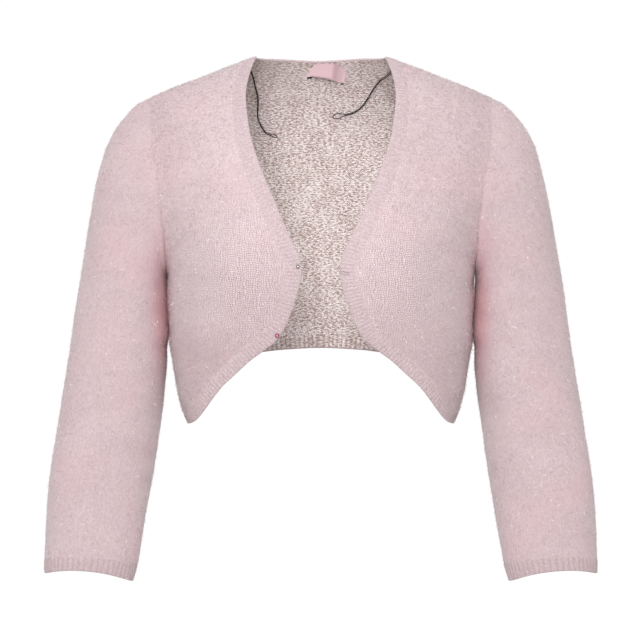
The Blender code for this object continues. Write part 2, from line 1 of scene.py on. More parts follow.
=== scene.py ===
from collections import namedtuple

import bmesh
import bpy
import numpy as np
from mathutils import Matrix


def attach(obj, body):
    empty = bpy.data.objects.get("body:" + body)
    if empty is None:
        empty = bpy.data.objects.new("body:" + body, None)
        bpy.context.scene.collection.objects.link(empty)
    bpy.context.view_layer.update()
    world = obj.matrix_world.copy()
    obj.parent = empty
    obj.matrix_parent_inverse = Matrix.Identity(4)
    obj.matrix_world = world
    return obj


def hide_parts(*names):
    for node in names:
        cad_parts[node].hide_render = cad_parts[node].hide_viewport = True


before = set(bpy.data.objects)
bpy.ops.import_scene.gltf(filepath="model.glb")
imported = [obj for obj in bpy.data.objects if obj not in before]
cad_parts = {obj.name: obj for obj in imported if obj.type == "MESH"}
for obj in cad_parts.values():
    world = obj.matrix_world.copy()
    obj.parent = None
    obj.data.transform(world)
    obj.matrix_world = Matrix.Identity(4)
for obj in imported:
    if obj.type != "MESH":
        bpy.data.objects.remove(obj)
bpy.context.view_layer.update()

# The camera stands level with the middle of the garment and straight in front of it, far off, as a
# shop's studio camera does. Its picture is 640 mm wide at the garment's side seams.
# Sizes are in millimetres throughout, and become metres where something is made.
MM = 0.001
SENSOR_WIDTH = 36.0
CAMERA_DISTANCE = 2700.0
CAMERA_X = -0.8
CAMERA_Z = -263.0
PICTURE_WIDTH = 640.0
FARTHEST_SEEN = 100.0

camera = bpy.data.objects.new("camera", bpy.data.cameras.new("camera"))
camera.data.sensor_width = SENSOR_WIDTH
camera.data.lens = SENSOR_WIDTH * CAMERA_DISTANCE / PICTURE_WIDTH
camera.data.clip_end = FARTHEST_SEEN
camera.location = (CAMERA_X * MM, -CAMERA_DISTANCE * MM, CAMERA_Z * MM)
camera.rotation_euler = (np.pi / 2, 0, 0)
bpy.context.scene.collection.objects.link(camera)
bpy.context.scene.camera = camera

# The two fronts are panels of plain stocking stitch in pink wool and angora, brushed to raise a pile.
# Each is knitted to shape, widest at the bust and cut away below it in a curve that ends in a point
# at the side seam. They are filled out smoothly, as they are when the garment is worn.
WALL = 2.2
CLOTH_CORNER = np.radians(60)
SEAM_LAP = 0.15
FINE = 4
FRONT_ROWS = 28
FRONT_COLUMNS = 46
FRONT_ARMHOLE_ROWS = 16
BAND_WIDTH_NECK = 12.0
BAND_WIDTH_FRONT = 16.5
BAND_WIDTH_HEM = 14.0
FRONT_ROUNDNESS = 2.3
BACK_ROUNDNESS = 2.6
SHOULDER_RIDGE_Y = 8.0
NECK_HALF_WIDTH = 64.5
NECK_DEPTH_BACK = 50.0
NECK_STAND = 14.0
FRONT_SHOULDER_DROP = 120.0
FRONT_SHOULDER_CURVE = 1.7
BACK_SHOULDER_DROP = 90.0
BACK_SHOULDER_CURVE = 2.0
FULLNESS = 16.0
FULLNESS_X = 76.0
FULLNESS_Z = -222.0
FULLNESS_SPREAD_X = 38.0
FULLNESS_SPREAD_Z = 46.0
FULLNESS_SIDE = 0.35
ARMPIT_DROP = 181.0
SIDE_TIP_DROP = 342.0
LOWEST_DROP = 345.0

Ridge = namedtuple("Ridge", "x z")
SHOULDER_LINE = [
    Ridge(0, 2.0),
    Ridge(39, 3.0),
    Ridge(64, 1.0),
    Ridge(88, -7.0),
    Ridge(118.5, -19.0),
    Ridge(150, -31.0),
    Ridge(171, -40.0),
    Ridge(195, -50.0),
]
Girth = namedtuple("Girth", "drop half_width front back")
GIRTHS = [
    Girth(0, 192.0, 78, 84),
    Girth(40, 190.5, 84, 90),
    Girth(80, 187.0, 91, 96),
    Girth(113, 177.0, 97, 99),
    Girth(146, 164.5, 101, 100),
    Girth(165, 158.4, 102.5, 99.4),
    Girth(181, 154.5, 103, 98),
    Girth(199, 153.2, 102.4, 96),
    Girth(217, 152.6, 101, 94),
    Girth(251, 151.6, 95, 89),
    Girth(276.5, 147.6, 89, 85),
    Girth(302, 143.6, 84, 81),
    Girth(328, 137.4, 81, 78),
    Girth(345, 131.5, 79, 76),
]
ArmholeSeam = namedtuple("ArmholeSeam", "drop x")
ARMHOLE_SEAM = [
    ArmholeSeam(0, 171.0),
    ArmholeSeam(55, 166.8),
    ArmholeSeam(80, 161.8),
    ArmholeSeam(113, 157.4),
    ArmholeSeam(146, 155.0),
    ArmholeSeam(181, 154.5),
]
BandWidth = namedtuple("BandWidth", "share width")
BAND_WIDTHS = [
    BandWidth(0, BAND_WIDTH_NECK),
    BandWidth(0.12, BAND_WIDTH_NECK + 1.5),
    BandWidth(0.35, BAND_WIDTH_FRONT),
    BandWidth(0.6, BAND_WIDTH_FRONT),
    BandWidth(0.8, BAND_WIDTH_HEM),
    BandWidth(1, BAND_WIDTH_HEM),
]
EdgePoint = namedtuple("EdgePoint", "x z")
FRONT_EDGE = [
    EdgePoint(70.7, -18.0),
    EdgePoint(73.9, -41.0),
    EdgePoint(70.7, -70.0),
    EdgePoint(63.3, -101.0),
    EdgePoint(53.2, -127.5),
    EdgePoint(38.3, -163.0),
    EdgePoint(26.5, -189.0),
    EdgePoint(18.6, -208.0),
    EdgePoint(17.8, -216.0),
    EdgePoint(26.0, -249.5),
    EdgePoint(41.0, -281.0),
    EdgePoint(71.7, -305.6),
    EdgePoint(97.6, -329.4),
    EdgePoint(116.2, -353.6),
    EdgePoint(127.5, -365.0),
]
Fold = namedtuple("Fold", "x0 y0 z0 x1 y1 z1 depth half_width")
FRONT_FOLDS = [
    Fold(158, -12, -206, 118, -78, -196, 1.8, 8),
    Fold(158, -10, -222, 104, -94, -240, 1.5, 9),
    Fold(152, -6, -262, 112, -78, -282, 1.2, 10),
    Fold(-158, -12, -200, -124, -74, -186, 1.5, 7),
    Fold(-158, -10, -219, -100, -96, -230, 1.9, 9),
    Fold(-152, -8, -270, -118, -72, -296, 1.1, 10),
]
TINY = 1e-9
CURVE_SAMPLES = 600
TURN_STEP = 0.2
DROP_STEP = 0.05
SEARCH_STEP = 0.01
SEARCH_ROUNDS = 40
LONGEST_STEP = 2
FOLD_FADE = 0.65
LONG_WAVE = 0.45
SHORT_WAVE = 0.16


def column(table, name):
    return np.array([getattr(row, name) for row in table], float)


def smooth(xs, ys, at):
    """A monotone cubic through the points (xs, ys), read at the places given."""
    steps = np.diff(xs)
    slopes = np.diff(ys) / steps
    tangents = np.empty_like(ys)
    tangents[0], tangents[-1] = slopes[0], slopes[-1]
    for i in range(1, len(xs) - 1):
        if slopes[i - 1] * slopes[i] <= 0:
            tangents[i] = 0
        else:
            before, after = 2 * steps[i] + steps[i - 1], steps[i] + 2 * steps[i - 1]
            tangents[i] = (before + after) / (before / slopes[i - 1] + after / slopes[i])
    at = np.clip(at, xs[0], xs[-1])
    cell = np.clip(np.searchsorted(xs, at, side="right") - 1, 0, len(steps) - 1)
    step = steps[cell]
    t = (at - xs[cell]) / step
    rise = t * t * (3 - 2 * t)
    bend = tangents[cell] * step * t * (1 - t) ** 2 + tangents[cell + 1] * step * t * t * (t - 1)
    return ys[cell] * (1 - rise) + ys[cell + 1] * rise + bend


def refined(rows, per=None, at=None):
    """Reads rows between the given ones, on smooth curves through them."""
    if at is None:
        at = np.linspace(0, len(rows) - 1, (len(rows) - 1) * per + 1)
    cell = np.minimum(at.astype(int), len(rows) - 2)
    t = (at - cell).reshape(-1, *[1] * (rows.ndim - 1))
    slope = np.gradient(rows, axis=0)
    rise = t * t * (3 - 2 * t)
    bend = slope[cell] * t * (1 - t) ** 2 + slope[cell + 1] * t * t * (t - 1)
    return rows[cell] * (1 - rise) + rows[cell + 1] * rise + bend


def unit(vectors):
    return vectors / np.linalg.norm(vectors, axis=-1, keepdims=True)


def shoulder_z(x):
    return smooth(column(SHOULDER_LINE, "x"), column(SHOULDER_LINE, "z"), np.abs(x))


def girth(drop, name):
    return smooth(column(GIRTHS, "drop"), column(GIRTHS, name), drop)


def signed_power(value, power):
    return np.sign(value) * np.abs(value) ** power


def roll(drop, reach, curve):
    """How far the cloth has rolled over the shoulder, from 0 on the ridge to 1 where it hangs upright."""
    left = np.clip(1 - np.maximum(drop, 0) / reach, 0, 1)
    return (1 - left**curve) ** (1 / curve)


def torso(turn, drop):
    """The outside of the fronts and the back. turn is the angle round the body from the centre front, in
    degrees, and drop is the depth below the line of the shoulders."""
    turn, drop = np.broadcast_arrays(np.asarray(turn, float), np.asarray(drop, float))
    sine, cosine = np.sin(np.radians(turn)), np.cos(np.radians(turn))
    at_front = cosine > TINY
    power = np.where(at_front, 2 / FRONT_ROUNDNESS, 2 / BACK_ROUNDNESS)
    depth = np.where(at_front, girth(drop, "front"), girth(drop, "back"))
    x = girth(drop, "half_width") * signed_power(sine, power)
    full_y = -depth * signed_power(np.where(np.abs(cosine) < TINY, 0, cosine), power)
    z = shoulder_z(x) - drop

    in_neck = np.clip(1 - (x / NECK_HALF_WIDTH) ** 2, 0, 1)
    top_y = SHOULDER_RIDGE_Y + NECK_DEPTH_BACK * np.sqrt(in_neck)
    stand = NECK_STAND * in_neck
    start = roll(stand, BACK_SHOULDER_DROP, BACK_SHOULDER_CURVE)
    back_roll = (roll(drop + stand, BACK_SHOULDER_DROP, BACK_SHOULDER_CURVE) - start) / (1 - start)
    front_roll = roll(drop, FRONT_SHOULDER_DROP, FRONT_SHOULDER_CURVE)
    front_y = SHOULDER_RIDGE_Y + (full_y - SHOULDER_RIDGE_Y) * front_roll
    away_x = (np.abs(x) - FULLNESS_X) / FULLNESS_SPREAD_X
    away_z = (z - FULLNESS_Z) / FULLNESS_SPREAD_Z
    at_side = np.clip(np.abs(cosine) / FULLNESS_SIDE, 0, 1)
    front_y = front_y - FULLNESS * np.exp(-(away_x**2 + away_z**2) / 2) * at_side
    back_y = top_y + (full_y - top_y) * back_roll
    return np.stack([x, np.where(at_front, front_y, back_y), z], axis=-1)


def torso_normal(turn, drop):
    turn, drop = np.broadcast_arrays(np.asarray(turn, float), np.asarray(drop, float))
    at_front = np.abs(turn) <= 90
    low_turn = np.where(at_front, -90.0, 90.0)
    high_turn = np.where(at_front, 90.0, 270.0)
    before = np.maximum(turn - TURN_STEP, low_turn)
    after = np.minimum(turn + TURN_STEP, high_turn)
    along = torso(after, drop) - torso(before, drop)
    down = torso(turn, drop + DROP_STEP) - torso(turn, np.maximum(drop - DROP_STEP, 0))
    return unit(np.cross(down, along))


def place_curve(places):
    return torso(places[..., 0], places[..., 1]), torso_normal(places[..., 0], places[..., 1])


def locate(x, z, back=False):
    """The (turn, drop) of a point of the front or the back, from its x (0 or more) and its z."""
    drop = shoulder_z(x) - z
    roundness = BACK_ROUNDNESS if back else FRONT_ROUNDNESS
    part = np.clip(x / girth(drop, "half_width"), 0, 1) ** (roundness / 2)
    turn = np.degrees(np.arcsin(part))
    return np.stack([180 - turn if back else turn, drop], axis=-1)


def run_of(points):
    """How far each point lies along the line through them all."""
    return np.concatenate([[0], np.cumsum(np.linalg.norm(np.diff(points, axis=0), axis=1))])


def evenly(places, count):
    """Reads count + 1 evenly spaced places from a curve on the torso that is given by many places."""
    run = run_of(torso(places[:, 0], places[:, 1]))
    at = np.linspace(0, run[-1], count + 1)
    return np.stack([np.interp(at, run, places[:, 0]), np.interp(at, run, places[:, 1])], axis=-1)


def fine_curve(places):
    """A smooth curve on the torso through a few (turn, drop) places."""
    run = run_of(torso(places[:, 0], places[:, 1]))
    at = np.linspace(0, run[-1], CURVE_SAMPLES)
    return np.stack([smooth(run, places[:, 0], at), smooth(run, places[:, 1], at)], axis=-1)


def nearest_place(points, guess):
    """The places of the torso that lie nearest to some points, found by stepping from a guess."""
    places = guess.copy()
    at_front = np.cos(np.radians(guess[:, 0])) > TINY
    low = np.stack([np.where(at_front, -90.0, 90.0), np.full(len(guess), DROP_STEP)], axis=-1)
    high = np.stack([np.where(at_front, 90.0, 270.0), np.full(len(guess), LOWEST_DROP)], axis=-1)
    for _ in range(SEARCH_ROUNDS):
        here = torso(places[:, 0], places[:, 1])
        turn_step = torso(places[:, 0] + SEARCH_STEP, places[:, 1]) - here
        drop_step = torso(places[:, 0], places[:, 1] + SEARCH_STEP) - here
        frame_here = np.stack([turn_step, drop_step], axis=-1)
        square = frame_here.swapaxes(1, 2) @ frame_here
        miss = frame_here.swapaxes(1, 2) @ (points - here)[..., None]
        step = SEARCH_STEP * np.linalg.solve(square, miss)[..., 0]
        places = np.clip(places + np.clip(step, -LONGEST_STEP, LONGEST_STEP), low, high)
    return places


def inset(places, width):
    """The places that lie this far inside an edge, measured square to it along the cloth."""
    points, normals = place_curve(places)
    travel = np.gradient(points, axis=0)
    for _ in range(2):
        travel[1:-1] = (travel[:-2] + 2 * travel[1:-1] + travel[2:]) / 4
    inward = unit(np.cross(normals, travel))
    return nearest_place(points + inward * np.asarray(width)[..., None], places + [0.0, 1.0])


def armhole(rows, back=False):
    drop = ARMPIT_DROP * np.linspace(0, 1, CURVE_SAMPLES) ** 2
    x = smooth(column(ARMHOLE_SEAM, "drop"), column(ARMHOLE_SEAM, "x"), drop)
    places = locate(x, shoulder_z(x) - drop, back)
    places[-1] = (90.0, ARMPIT_DROP)
    return evenly(places, rows)


def side_seam(rows):
    drops = np.linspace(ARMPIT_DROP, SIDE_TIP_DROP - BAND_WIDTH_HEM, rows + 1)
    return np.stack([np.full(rows + 1, 90.0), drops], axis=-1)


def folded_in(points, folds):
    """How deep soft folds press the cloth in at each point."""
    depth = np.zeros(points.shape[:-1])
    for fold in folds:
        start, end = np.array(fold[:3], float), np.array(fold[3:6], float)
        along = end - start
        t = np.clip((points - start) @ along / (along @ along), 0, 1)
        away = np.linalg.norm(points - start - t[..., None] * along, axis=-1)
        depth += fold.depth * np.exp(-((away / fold.half_width) ** 2)) * (1 - FOLD_FADE * t)
    return depth


def uneven(points):
    """The slight waver of a knitted wall, the same for two pieces where they meet."""
    x, y, z = points[..., 0], points[..., 1], points[..., 2]
    long_waves = np.sin(x / 21 + 1.4 * np.sin(z / 37)) * np.sin(z / 27 + y / 33)
    short_waves = np.sin((x + z) / 8.3 + 1.2 * np.sin(y / 13)) * np.sin((z - 0.6 * x) / 9.7)
    return LONG_WAVE * long_waves + SHORT_WAVE * short_waves


def settled(points, normals, folds=()):
    """Lets the cloth waver and fold: its outside and its inside."""
    points = points + normals * (uneven(points) - folded_in(points, folds))[..., None]
    return points, points - WALL * normals


EASE_HEIGHT = 2.2
EASE_REACH = 8.0
EASE_STARTS = 70.0
EASE_ENDS = ARMPIT_DROP + 4.0
EASE_FADE = 12.0


def eased(points, normals, from_armhole, drop):
    """Fills out the hollow beside the armhole, where the pull of the cloth rounds it off."""
    share = np.clip(drop / EASE_STARTS, 0, 1) * np.clip((EASE_ENDS - drop) / EASE_FADE, 0, 1)
    height = EASE_HEIGHT * share * np.exp(-((from_armhole / EASE_REACH) ** 2))
    return points + normals * height[..., None]


def add_cloth(name, rows, first_inner, stitch, materials, closed=False):
    """Makes a wall of cloth from rows that go over its outside, round its edge and back over its inside."""
    count, columns = rows.shape[:2]
    number = np.arange(count * columns).reshape(count, columns)
    after = np.roll(number, -1, axis=0)
    quads = np.stack([number[:, :-1], number[:, 1:], after[:, 1:], after[:, :-1]], axis=-1)
    faces = quads.reshape(-1, 4).tolist()
    slots = np.repeat((np.arange(count) >= first_inner) & (np.arange(count) < count - 1), columns - 1)
    slots = slots.astype(int).tolist()
    if not closed:
        # The side edges of an open panel are closed by strips between its outside and its inside.
        for c in (0, columns - 1):
            for r in range(count // 2):
                face = [number[r, c], number[r + 1, c], number[count - 2 - r, c], number[count - 1 - r, c]]
                if face[1] == face[2]:
                    del face[2]
                if len(set(face)) > 2 and not (face[1] == face[-2] and face[0] == face[-1]):
                    faces.append(face)
                    slots.append(0)
    mesh = bpy.data.meshes.new(name)
    mesh.from_pydata((rows.reshape(-1, 3) * MM).tolist(), [], faces)
    corners = np.concatenate([np.asarray(face) for face in faces])
    mesh.uv_layers.new(name="stitches").uv.foreach_set("vector", stitch.reshape(-1, 2)[corners].ravel())
    mesh.polygons.foreach_set("material_index", slots)
    made = bmesh.new()
    made.from_mesh(mesh)
    bmesh.ops.remove_doubles(made, verts=made.verts, dist=1e-6)
    bmesh.ops.recalc_face_normals(made, faces=made.faces)
    made.to_mesh(mesh)
    made.free()
    mesh.set_sharp_from_angle(angle=CLOTH_CORNER)
    for material in materials:
        mesh.materials.append(material)
    return add_object(name, mesh)


def add_panel(name, outside, inside, stitch, materials, closed=False):
    """A cloth with the same stitches on its inside as on its outside."""
    rows = np.concatenate([outside, inside[::-1]])
    stitch = np.concatenate([stitch, stitch[::-1]])
    return add_cloth(name, rows, len(outside), stitch, materials, closed)


def add_object(name, data):
    obj = bpy.data.objects.new(name, data)
    bpy.context.scene.collection.objects.link(obj)
    return obj


def dress(obj, slot, *nodes):
    """Fixes a piece to the garment, in the place of its plain solids."""
    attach(obj, "root")
    if nodes:
        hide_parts(*nodes)
    return obj


def as_drawn(points):
    return points


def mirrored(points):
    return points * np.array([-1.0, 1.0, 1.0])


SIDES = (("left", as_drawn), ("right", mirrored))


def plain_material(name, colour, roughness, **values):
    """A material with the same finish all over."""
    material = bpy.data.materials.new(name)
    material.use_nodes = True
    shader = material.node_tree.nodes["Principled BSDF"]
    shader.inputs["Base Color"].default_value = (*colour, 1)
    shader.inputs["Roughness"].default_value = roughness
    for socket, value in values.items():
        shader.inputs[socket.replace("_", " ")].default_value = value
    return material


STITCH_WIDTH = 2.6
STITCH_HEIGHT = 2.2
STRETCH = 1.12
# The sides, the sleeves and the low fronts get painted shade, as they turn away from the lamps.
SIDE_X = 158.0
SIDE_POWER = 5.0
SIDE_PAINTED_SHADE = 0.22
LOW_Z = -268.0
LOW_REACH = 40.0
Place = namedtuple("Place", "x z spread_x spread_z")
BUST = Place(76.0, -226.0, 56.0, 78.0)
UNDER_ARM = Place(157.0, -256.0, 9.0, 62.0)
FALL_OFF = 0.37


class Nodes:
    """Short ways to make and join the nodes of a material, or of the room round it all."""

    def __init__(self, owner, shader="Principled BSDF"):
        self.tree = owner.node_tree
        self.shader = self.tree.nodes[shader]

    def add(self, kind, **settings):
        made = self.tree.nodes.new("ShaderNode" + kind)
        for name, value in settings.items():
            setattr(made, name, value)
        return made

    def join(self, source, target):
        if hasattr(source, "is_output"):
            self.tree.links.new(source, target)
        else:
            target.default_value = source

    def maths(self, operation, *values):
        made = self.add("Math", operation=operation)
        for value, socket in zip(values, made.inputs):
            self.join(value, socket)
        return made.outputs[0]

    def blend(self, first, second, share):
        return self.maths("MULTIPLY_ADD", first, share, self.maths("MULTIPLY", second, 1 - share))

    def beat(self, turn, swing=0.5):
        """A wave that tops at 1 once in each turn, and falls by twice the swing between."""
        wave = self.maths("COSINE", self.maths("MULTIPLY", turn, 2 * np.pi))
        return self.maths("MULTIPLY_ADD", wave, swing, 1 - swing)

    def from_middle(self, place):
        """0 in the middle of each column of stitches or each rib, and 1 at its sides."""
        return self.maths("ABSOLUTE", self.maths("MULTIPLY_ADD", self.maths("FRACT", place), 2.0, -1.0))

    def stitch_axes(self):
        split = self.add("SeparateXYZ")
        self.join(self.add("UVMap", uv_map="stitches").outputs[0], split.inputs[0])
        return split.outputs[0], split.outputs[1]

    def position(self, source="Object"):
        split = self.add("SeparateXYZ")
        self.join(self.add("TexCoord").outputs[source], split.inputs[0])
        return split.outputs

    def near(self, place):
        """1 at a place on either side of the garment, and falling to 0 round it."""
        x, _, z = self.position()
        x = self.maths("SUBTRACT", self.maths("ABSOLUTE", x), place.x * MM)
        z = self.maths("SUBTRACT", z, place.z * MM)
        x = self.maths("DIVIDE", x, place.spread_x * MM)
        z = self.maths("DIVIDE", z, place.spread_z * MM)
        square = self.maths("MULTIPLY_ADD", x, x, self.maths("MULTIPLY", z, z))
        return self.maths("POWER", FALL_OFF, square)

    def outwards(self):
        """Rises from 0 at the middle of the garment to 1 at its sides and at the low points of the fronts,
        and stays 1 over the sleeves. It says how much painted shade darkens the colour there, where the
        cloth turns away from the lamps."""
        x, _, z = self.position()
        side = self.maths("DIVIDE", self.maths("ABSOLUTE", x), SIDE_X * MM)
        low = self.maths("DIVIDE", self.maths("SUBTRACT", LOW_Z * MM, z), LOW_REACH * MM)
        low = self.maths("MAXIMUM", low, 0.0)
        both = self.maths("ADD", self.maths("POWER", side, SIDE_POWER), low)
        return self.maths("MINIMUM", both, 1.0)

    def noise(self, scale, detail=2.0, stretch=(1, 1, 1), turn=0.0, stitches=False):
        """Noise in steps of the object's own metres, or of its stitches' millimetres."""
        spread = self.add("Mapping")
        if stitches:
            source = self.add("UVMap", uv_map="stitches").outputs[0]
        else:
            source = self.add("TexCoord").outputs["Object"]
        self.join(source, spread.inputs["Vector"])
        spread.inputs["Scale"].default_value = stretch
        spread.inputs["Rotation"].default_value = (0, 0, turn)
        made = self.add("TexNoise")
        self.join(spread.outputs[0], made.inputs["Vector"])
        made.inputs["Scale"].default_value = scale
        made.inputs["Detail"].default_value = detail
        return made.outputs[0]

    def ramp(self, value, *stops):
        made = self.add("ValToRGB")
        made.color_ramp.elements.remove(made.color_ramp.elements[1])
        for index, (place, colour) in enumerate(stops):
            if index:
                made.color_ramp.elements.new(place)
            made.color_ramp.elements[index].position = place
            made.color_ramp.elements[index].color = (*colour, 1)
        self.join(value, made.inputs[0])
        return made.outputs[0]

    def mix(self, share, first, second):
        made = self.add("Mix", data_type="RGBA")
        self.join(share, made.inputs["Factor"])
        for value, socket in ((first, made.inputs[6]), (second, made.inputs[7])):
            self.join((*value, 1) if isinstance(value, tuple) else value, socket)
        return made.outputs[2]

    def raise_by(self, height, distance, strength=1.0):
        made = self.add("Bump")
        made.inputs["Distance"].default_value = distance * MM
        made.inputs["Strength"].default_value = strength
        self.join(height, made.inputs["Height"])
        self.join(made.outputs[0], self.shader.inputs["Normal"])


COLUMN_SWAY = 9.0
SWAY_FINENESS = 0.09
LEG_SHAPE = 2.5
LEG_SLANT = 0.5
LEG_SWING = 0.35
HAZE_SHARE = 0.74
HAZE_FINENESS = 760
HAZE_STRETCH = (1, 1, 0.7)
HAZE_RELIEF = 0.5
CLOUD_FINENESS = 24
BLUSH_FINENESS = 17
BLUSH_RANGE = (1.5, -0.63)
PATCH_FINENESS = 0.5
PATCH_RANGE = (2.6, -0.5)
FAINTEST_PATCH = 0.1
FACE_RELIEF = (0.8, 0.6)
FACE_PINK = (0.47, 0.37, 0.384)
FACE_TONES = [
    (0.36, (0.43, 0.325, 0.341)),
    (0.47, (0.475, 0.375, 0.388)),
    (0.55, (0.50, 0.402, 0.414)),
    (0.66, (0.545, 0.457, 0.467)),
]
BLUSH_PINK = (0.55, 0.375, 0.40)
# A deeper pink painted under the arm: painted shade in the crease between the sleeve and the body.
CREASE_SHADE_PINK = (0.62, 0.33, 0.355)
# A paler pink painted on the crests of the stitches: painted highlight.
CREST_HIGHLIGHT_PINK = (0.84, 0.75, 0.76)
# A dark pink painted into the hollows of the stitches and over the shaded sides: painted shade.
PAINTED_SHADE_PINK = (0.22, 0.14, 0.155)
SHEEN = 0.25


def knit_face(name, clearness, bust_clearness, crease_shade):
    """The brushed right side: columns of small Vs under a haze of pale and deeper pink fibres. The Vs show
    as clearly as the first two numbers say, in general and at the bust, where the cloth is stretched; their
    crests are painted lighter and their hollows darker, as painted light and shade. The last number is how
    much deeper pink is painted under the arm: painted shade in the crease between the sleeve and the body.
    The sides, the sleeves and the low fronts are darkened with painted shade too."""
    material = plain_material(name, FACE_PINK, 1.0)
    n = Nodes(material)
    across, up = n.stitch_axes()
    sway = n.noise(SWAY_FINENESS, 1.0, stitches=True)
    place = n.maths("DIVIDE", n.maths("MULTIPLY_ADD", sway, COLUMN_SWAY, across), STITCH_WIDTH)
    start = n.add("TexWhiteNoise", noise_dimensions="1D")
    n.join(n.maths("FLOOR", place), start.inputs["W"])
    side = n.from_middle(place)
    leg = n.maths("SUBTRACT", 1.0, n.maths("POWER", side, LEG_SHAPE))
    turn = n.maths("MULTIPLY_ADD", side, LEG_SLANT, n.maths("DIVIDE", up, STITCH_HEIGHT))
    turn = n.maths("ADD", turn, start.outputs["Value"])
    stitch = n.maths("MULTIPLY", leg, n.beat(turn, LEG_SWING))
    haze = n.noise(HAZE_FINENESS, 2.0, HAZE_STRETCH)
    tone = n.blend(haze, n.noise(CLOUD_FINENESS, 2.0), HAZE_SHARE)
    blush = n.maths("MULTIPLY_ADD", n.noise(BLUSH_FINENESS, 1.0), *BLUSH_RANGE)
    colour = n.mix(blush, n.ramp(tone, *FACE_TONES), BLUSH_PINK)
    # Painted shade: a deeper pink under the arm, for the crease between the sleeve and the body.
    under_arm = n.near(UNDER_ARM)
    colour = n.mix(n.maths("MULTIPLY", under_arm, crease_shade), colour, CREASE_SHADE_PINK)
    clear = n.maths("MULTIPLY_ADD", n.near(BUST), bust_clearness - clearness, clearness)
    patchy = n.maths("MULTIPLY_ADD", n.noise(PATCH_FINENESS, 2.0, stitches=True), *PATCH_RANGE)
    clear = n.maths("MULTIPLY", clear, n.maths("MAXIMUM", patchy, FAINTEST_PATCH))
    # Painted highlight on the crests of the stitches, and painted shade in their hollows and at the sides.
    crest = n.maths("MULTIPLY", n.maths("POWER", stitch, 2.0), clear)
    colour = n.mix(crest, colour, CREST_HIGHLIGHT_PINK)
    # Painted shade: the colour darkens at the sides, on the sleeves and on the low fronts.
    depth = n.maths("MULTIPLY", n.outwards(), SIDE_PAINTED_SHADE)
    shade = n.maths("MULTIPLY_ADD", n.maths("MULTIPLY_ADD", stitch, -1.0, 1.0), clear, depth)
    n.join(n.mix(shade, colour, PAINTED_SHADE_PINK), n.shader.inputs["Base Color"])
    relief = n.maths("MULTIPLY_ADD", haze, HAZE_RELIEF, n.maths("MULTIPLY", stitch, clear))
    n.raise_by(relief, *FACE_RELIEF)
    n.join(n.maths("MULTIPLY_ADD", under_arm, -SHEEN, SHEEN), n.shader.inputs["Sheen Weight"])
    n.shader.inputs["Sheen Roughness"].default_value = 0.6
    n.shader.inputs["Specular IOR Level"].default_value = 0.15
    return material


FLECK_FINENESS = 0.5
FLECK_STRETCH = (0.55, 1.6, 1)
FLECK_TURN = 0.8
FLECK_RELIEF = 0.8
REVERSE_RELIEF = (0.9, 0.8)
REVERSE_PINK = (0.74, 0.64, 0.62)
# Lighter than the right side's tones: partly the yarn's white flecks and partly painted light, which makes
# up for the shade inside the garment.
REVERSE_TONES = [
    (0.46, (0.385, 0.285, 0.27)),
    (0.52, (0.64, 0.52, 0.50)),
    (0.58, (0.89, 0.79, 0.77)),
    (0.65, (0.98, 0.94, 0.925)),
]
REVERSE_PAINTED_SHADE = (0.36, 0.27, 0.25)
REVERSE_CLOUDS = 0.12
REVERSE_CLOUD_FINENESS = 55
ROW_WAVE = 0.22
ROW_SHADE = 0.2
RIB_UNIT = 4.0


def knit_reverse(name, rib_shade=0.0):
    """The unbrushed wrong side: rows of small bumps, flecked with white, pink and brown-grey. Painted shade
    darkens the dips between the rows and, where it is ribbed, the hollows between the ribs. Its tones are
    lighter than the right side's: partly the yarn's white flecks and partly painted light that makes up for
    the shade inside the garment."""
    material = plain_material(name, REVERSE_PINK, 1.0)
    n = Nodes(material)
    across, up = n.stitch_axes()
    wave = n.maths("COSINE", n.maths("MULTIPLY", across, 2 * np.pi / STITCH_WIDTH))
    purl = n.beat(n.maths("MULTIPLY_ADD", wave, ROW_WAVE, n.maths("DIVIDE", up, STITCH_HEIGHT)))
    one_way = n.noise(FLECK_FINENESS, 1.0, FLECK_STRETCH, FLECK_TURN, stitches=True)
    other_way = n.noise(FLECK_FINENESS, 1.0, FLECK_STRETCH, -FLECK_TURN, stitches=True)
    flecks = n.maths("MAXIMUM", one_way, other_way)
    tone = n.blend(n.noise(REVERSE_CLOUD_FINENESS, 2.0), flecks, REVERSE_CLOUDS)
    colour = n.ramp(tone, *REVERSE_TONES)
    # Painted shade between the rows of bumps, and in the hollows between the ribs.
    shade = n.maths("MULTIPLY_ADD", purl, -ROW_SHADE, ROW_SHADE)
    if rib_shade:
        on_rib = n.from_middle(n.maths("DIVIDE", across, RIB_UNIT))
        hollow = n.maths("POWER", n.maths("SUBTRACT", 1.0, on_rib), 2.0)
        shade = n.maths("MULTIPLY_ADD", hollow, rib_shade, shade)
    n.join(n.mix(shade, colour, REVERSE_PAINTED_SHADE), n.shader.inputs["Base Color"])
    n.raise_by(n.maths("MULTIPLY_ADD", flecks, FLECK_RELIEF, purl), *REVERSE_RELIEF)
    n.shader.inputs["Specular IOR Level"].default_value = 0.2
    return material


REVERSE = knit_reverse("pink_knit_reverse")
FRONT_KNIT = [knit_face("pink_front_face", 0.08, 0.68, 0.6), REVERSE]
KNIT = [knit_face("pink_knit_face", 0.06, 0.06, 0.8), REVERSE]

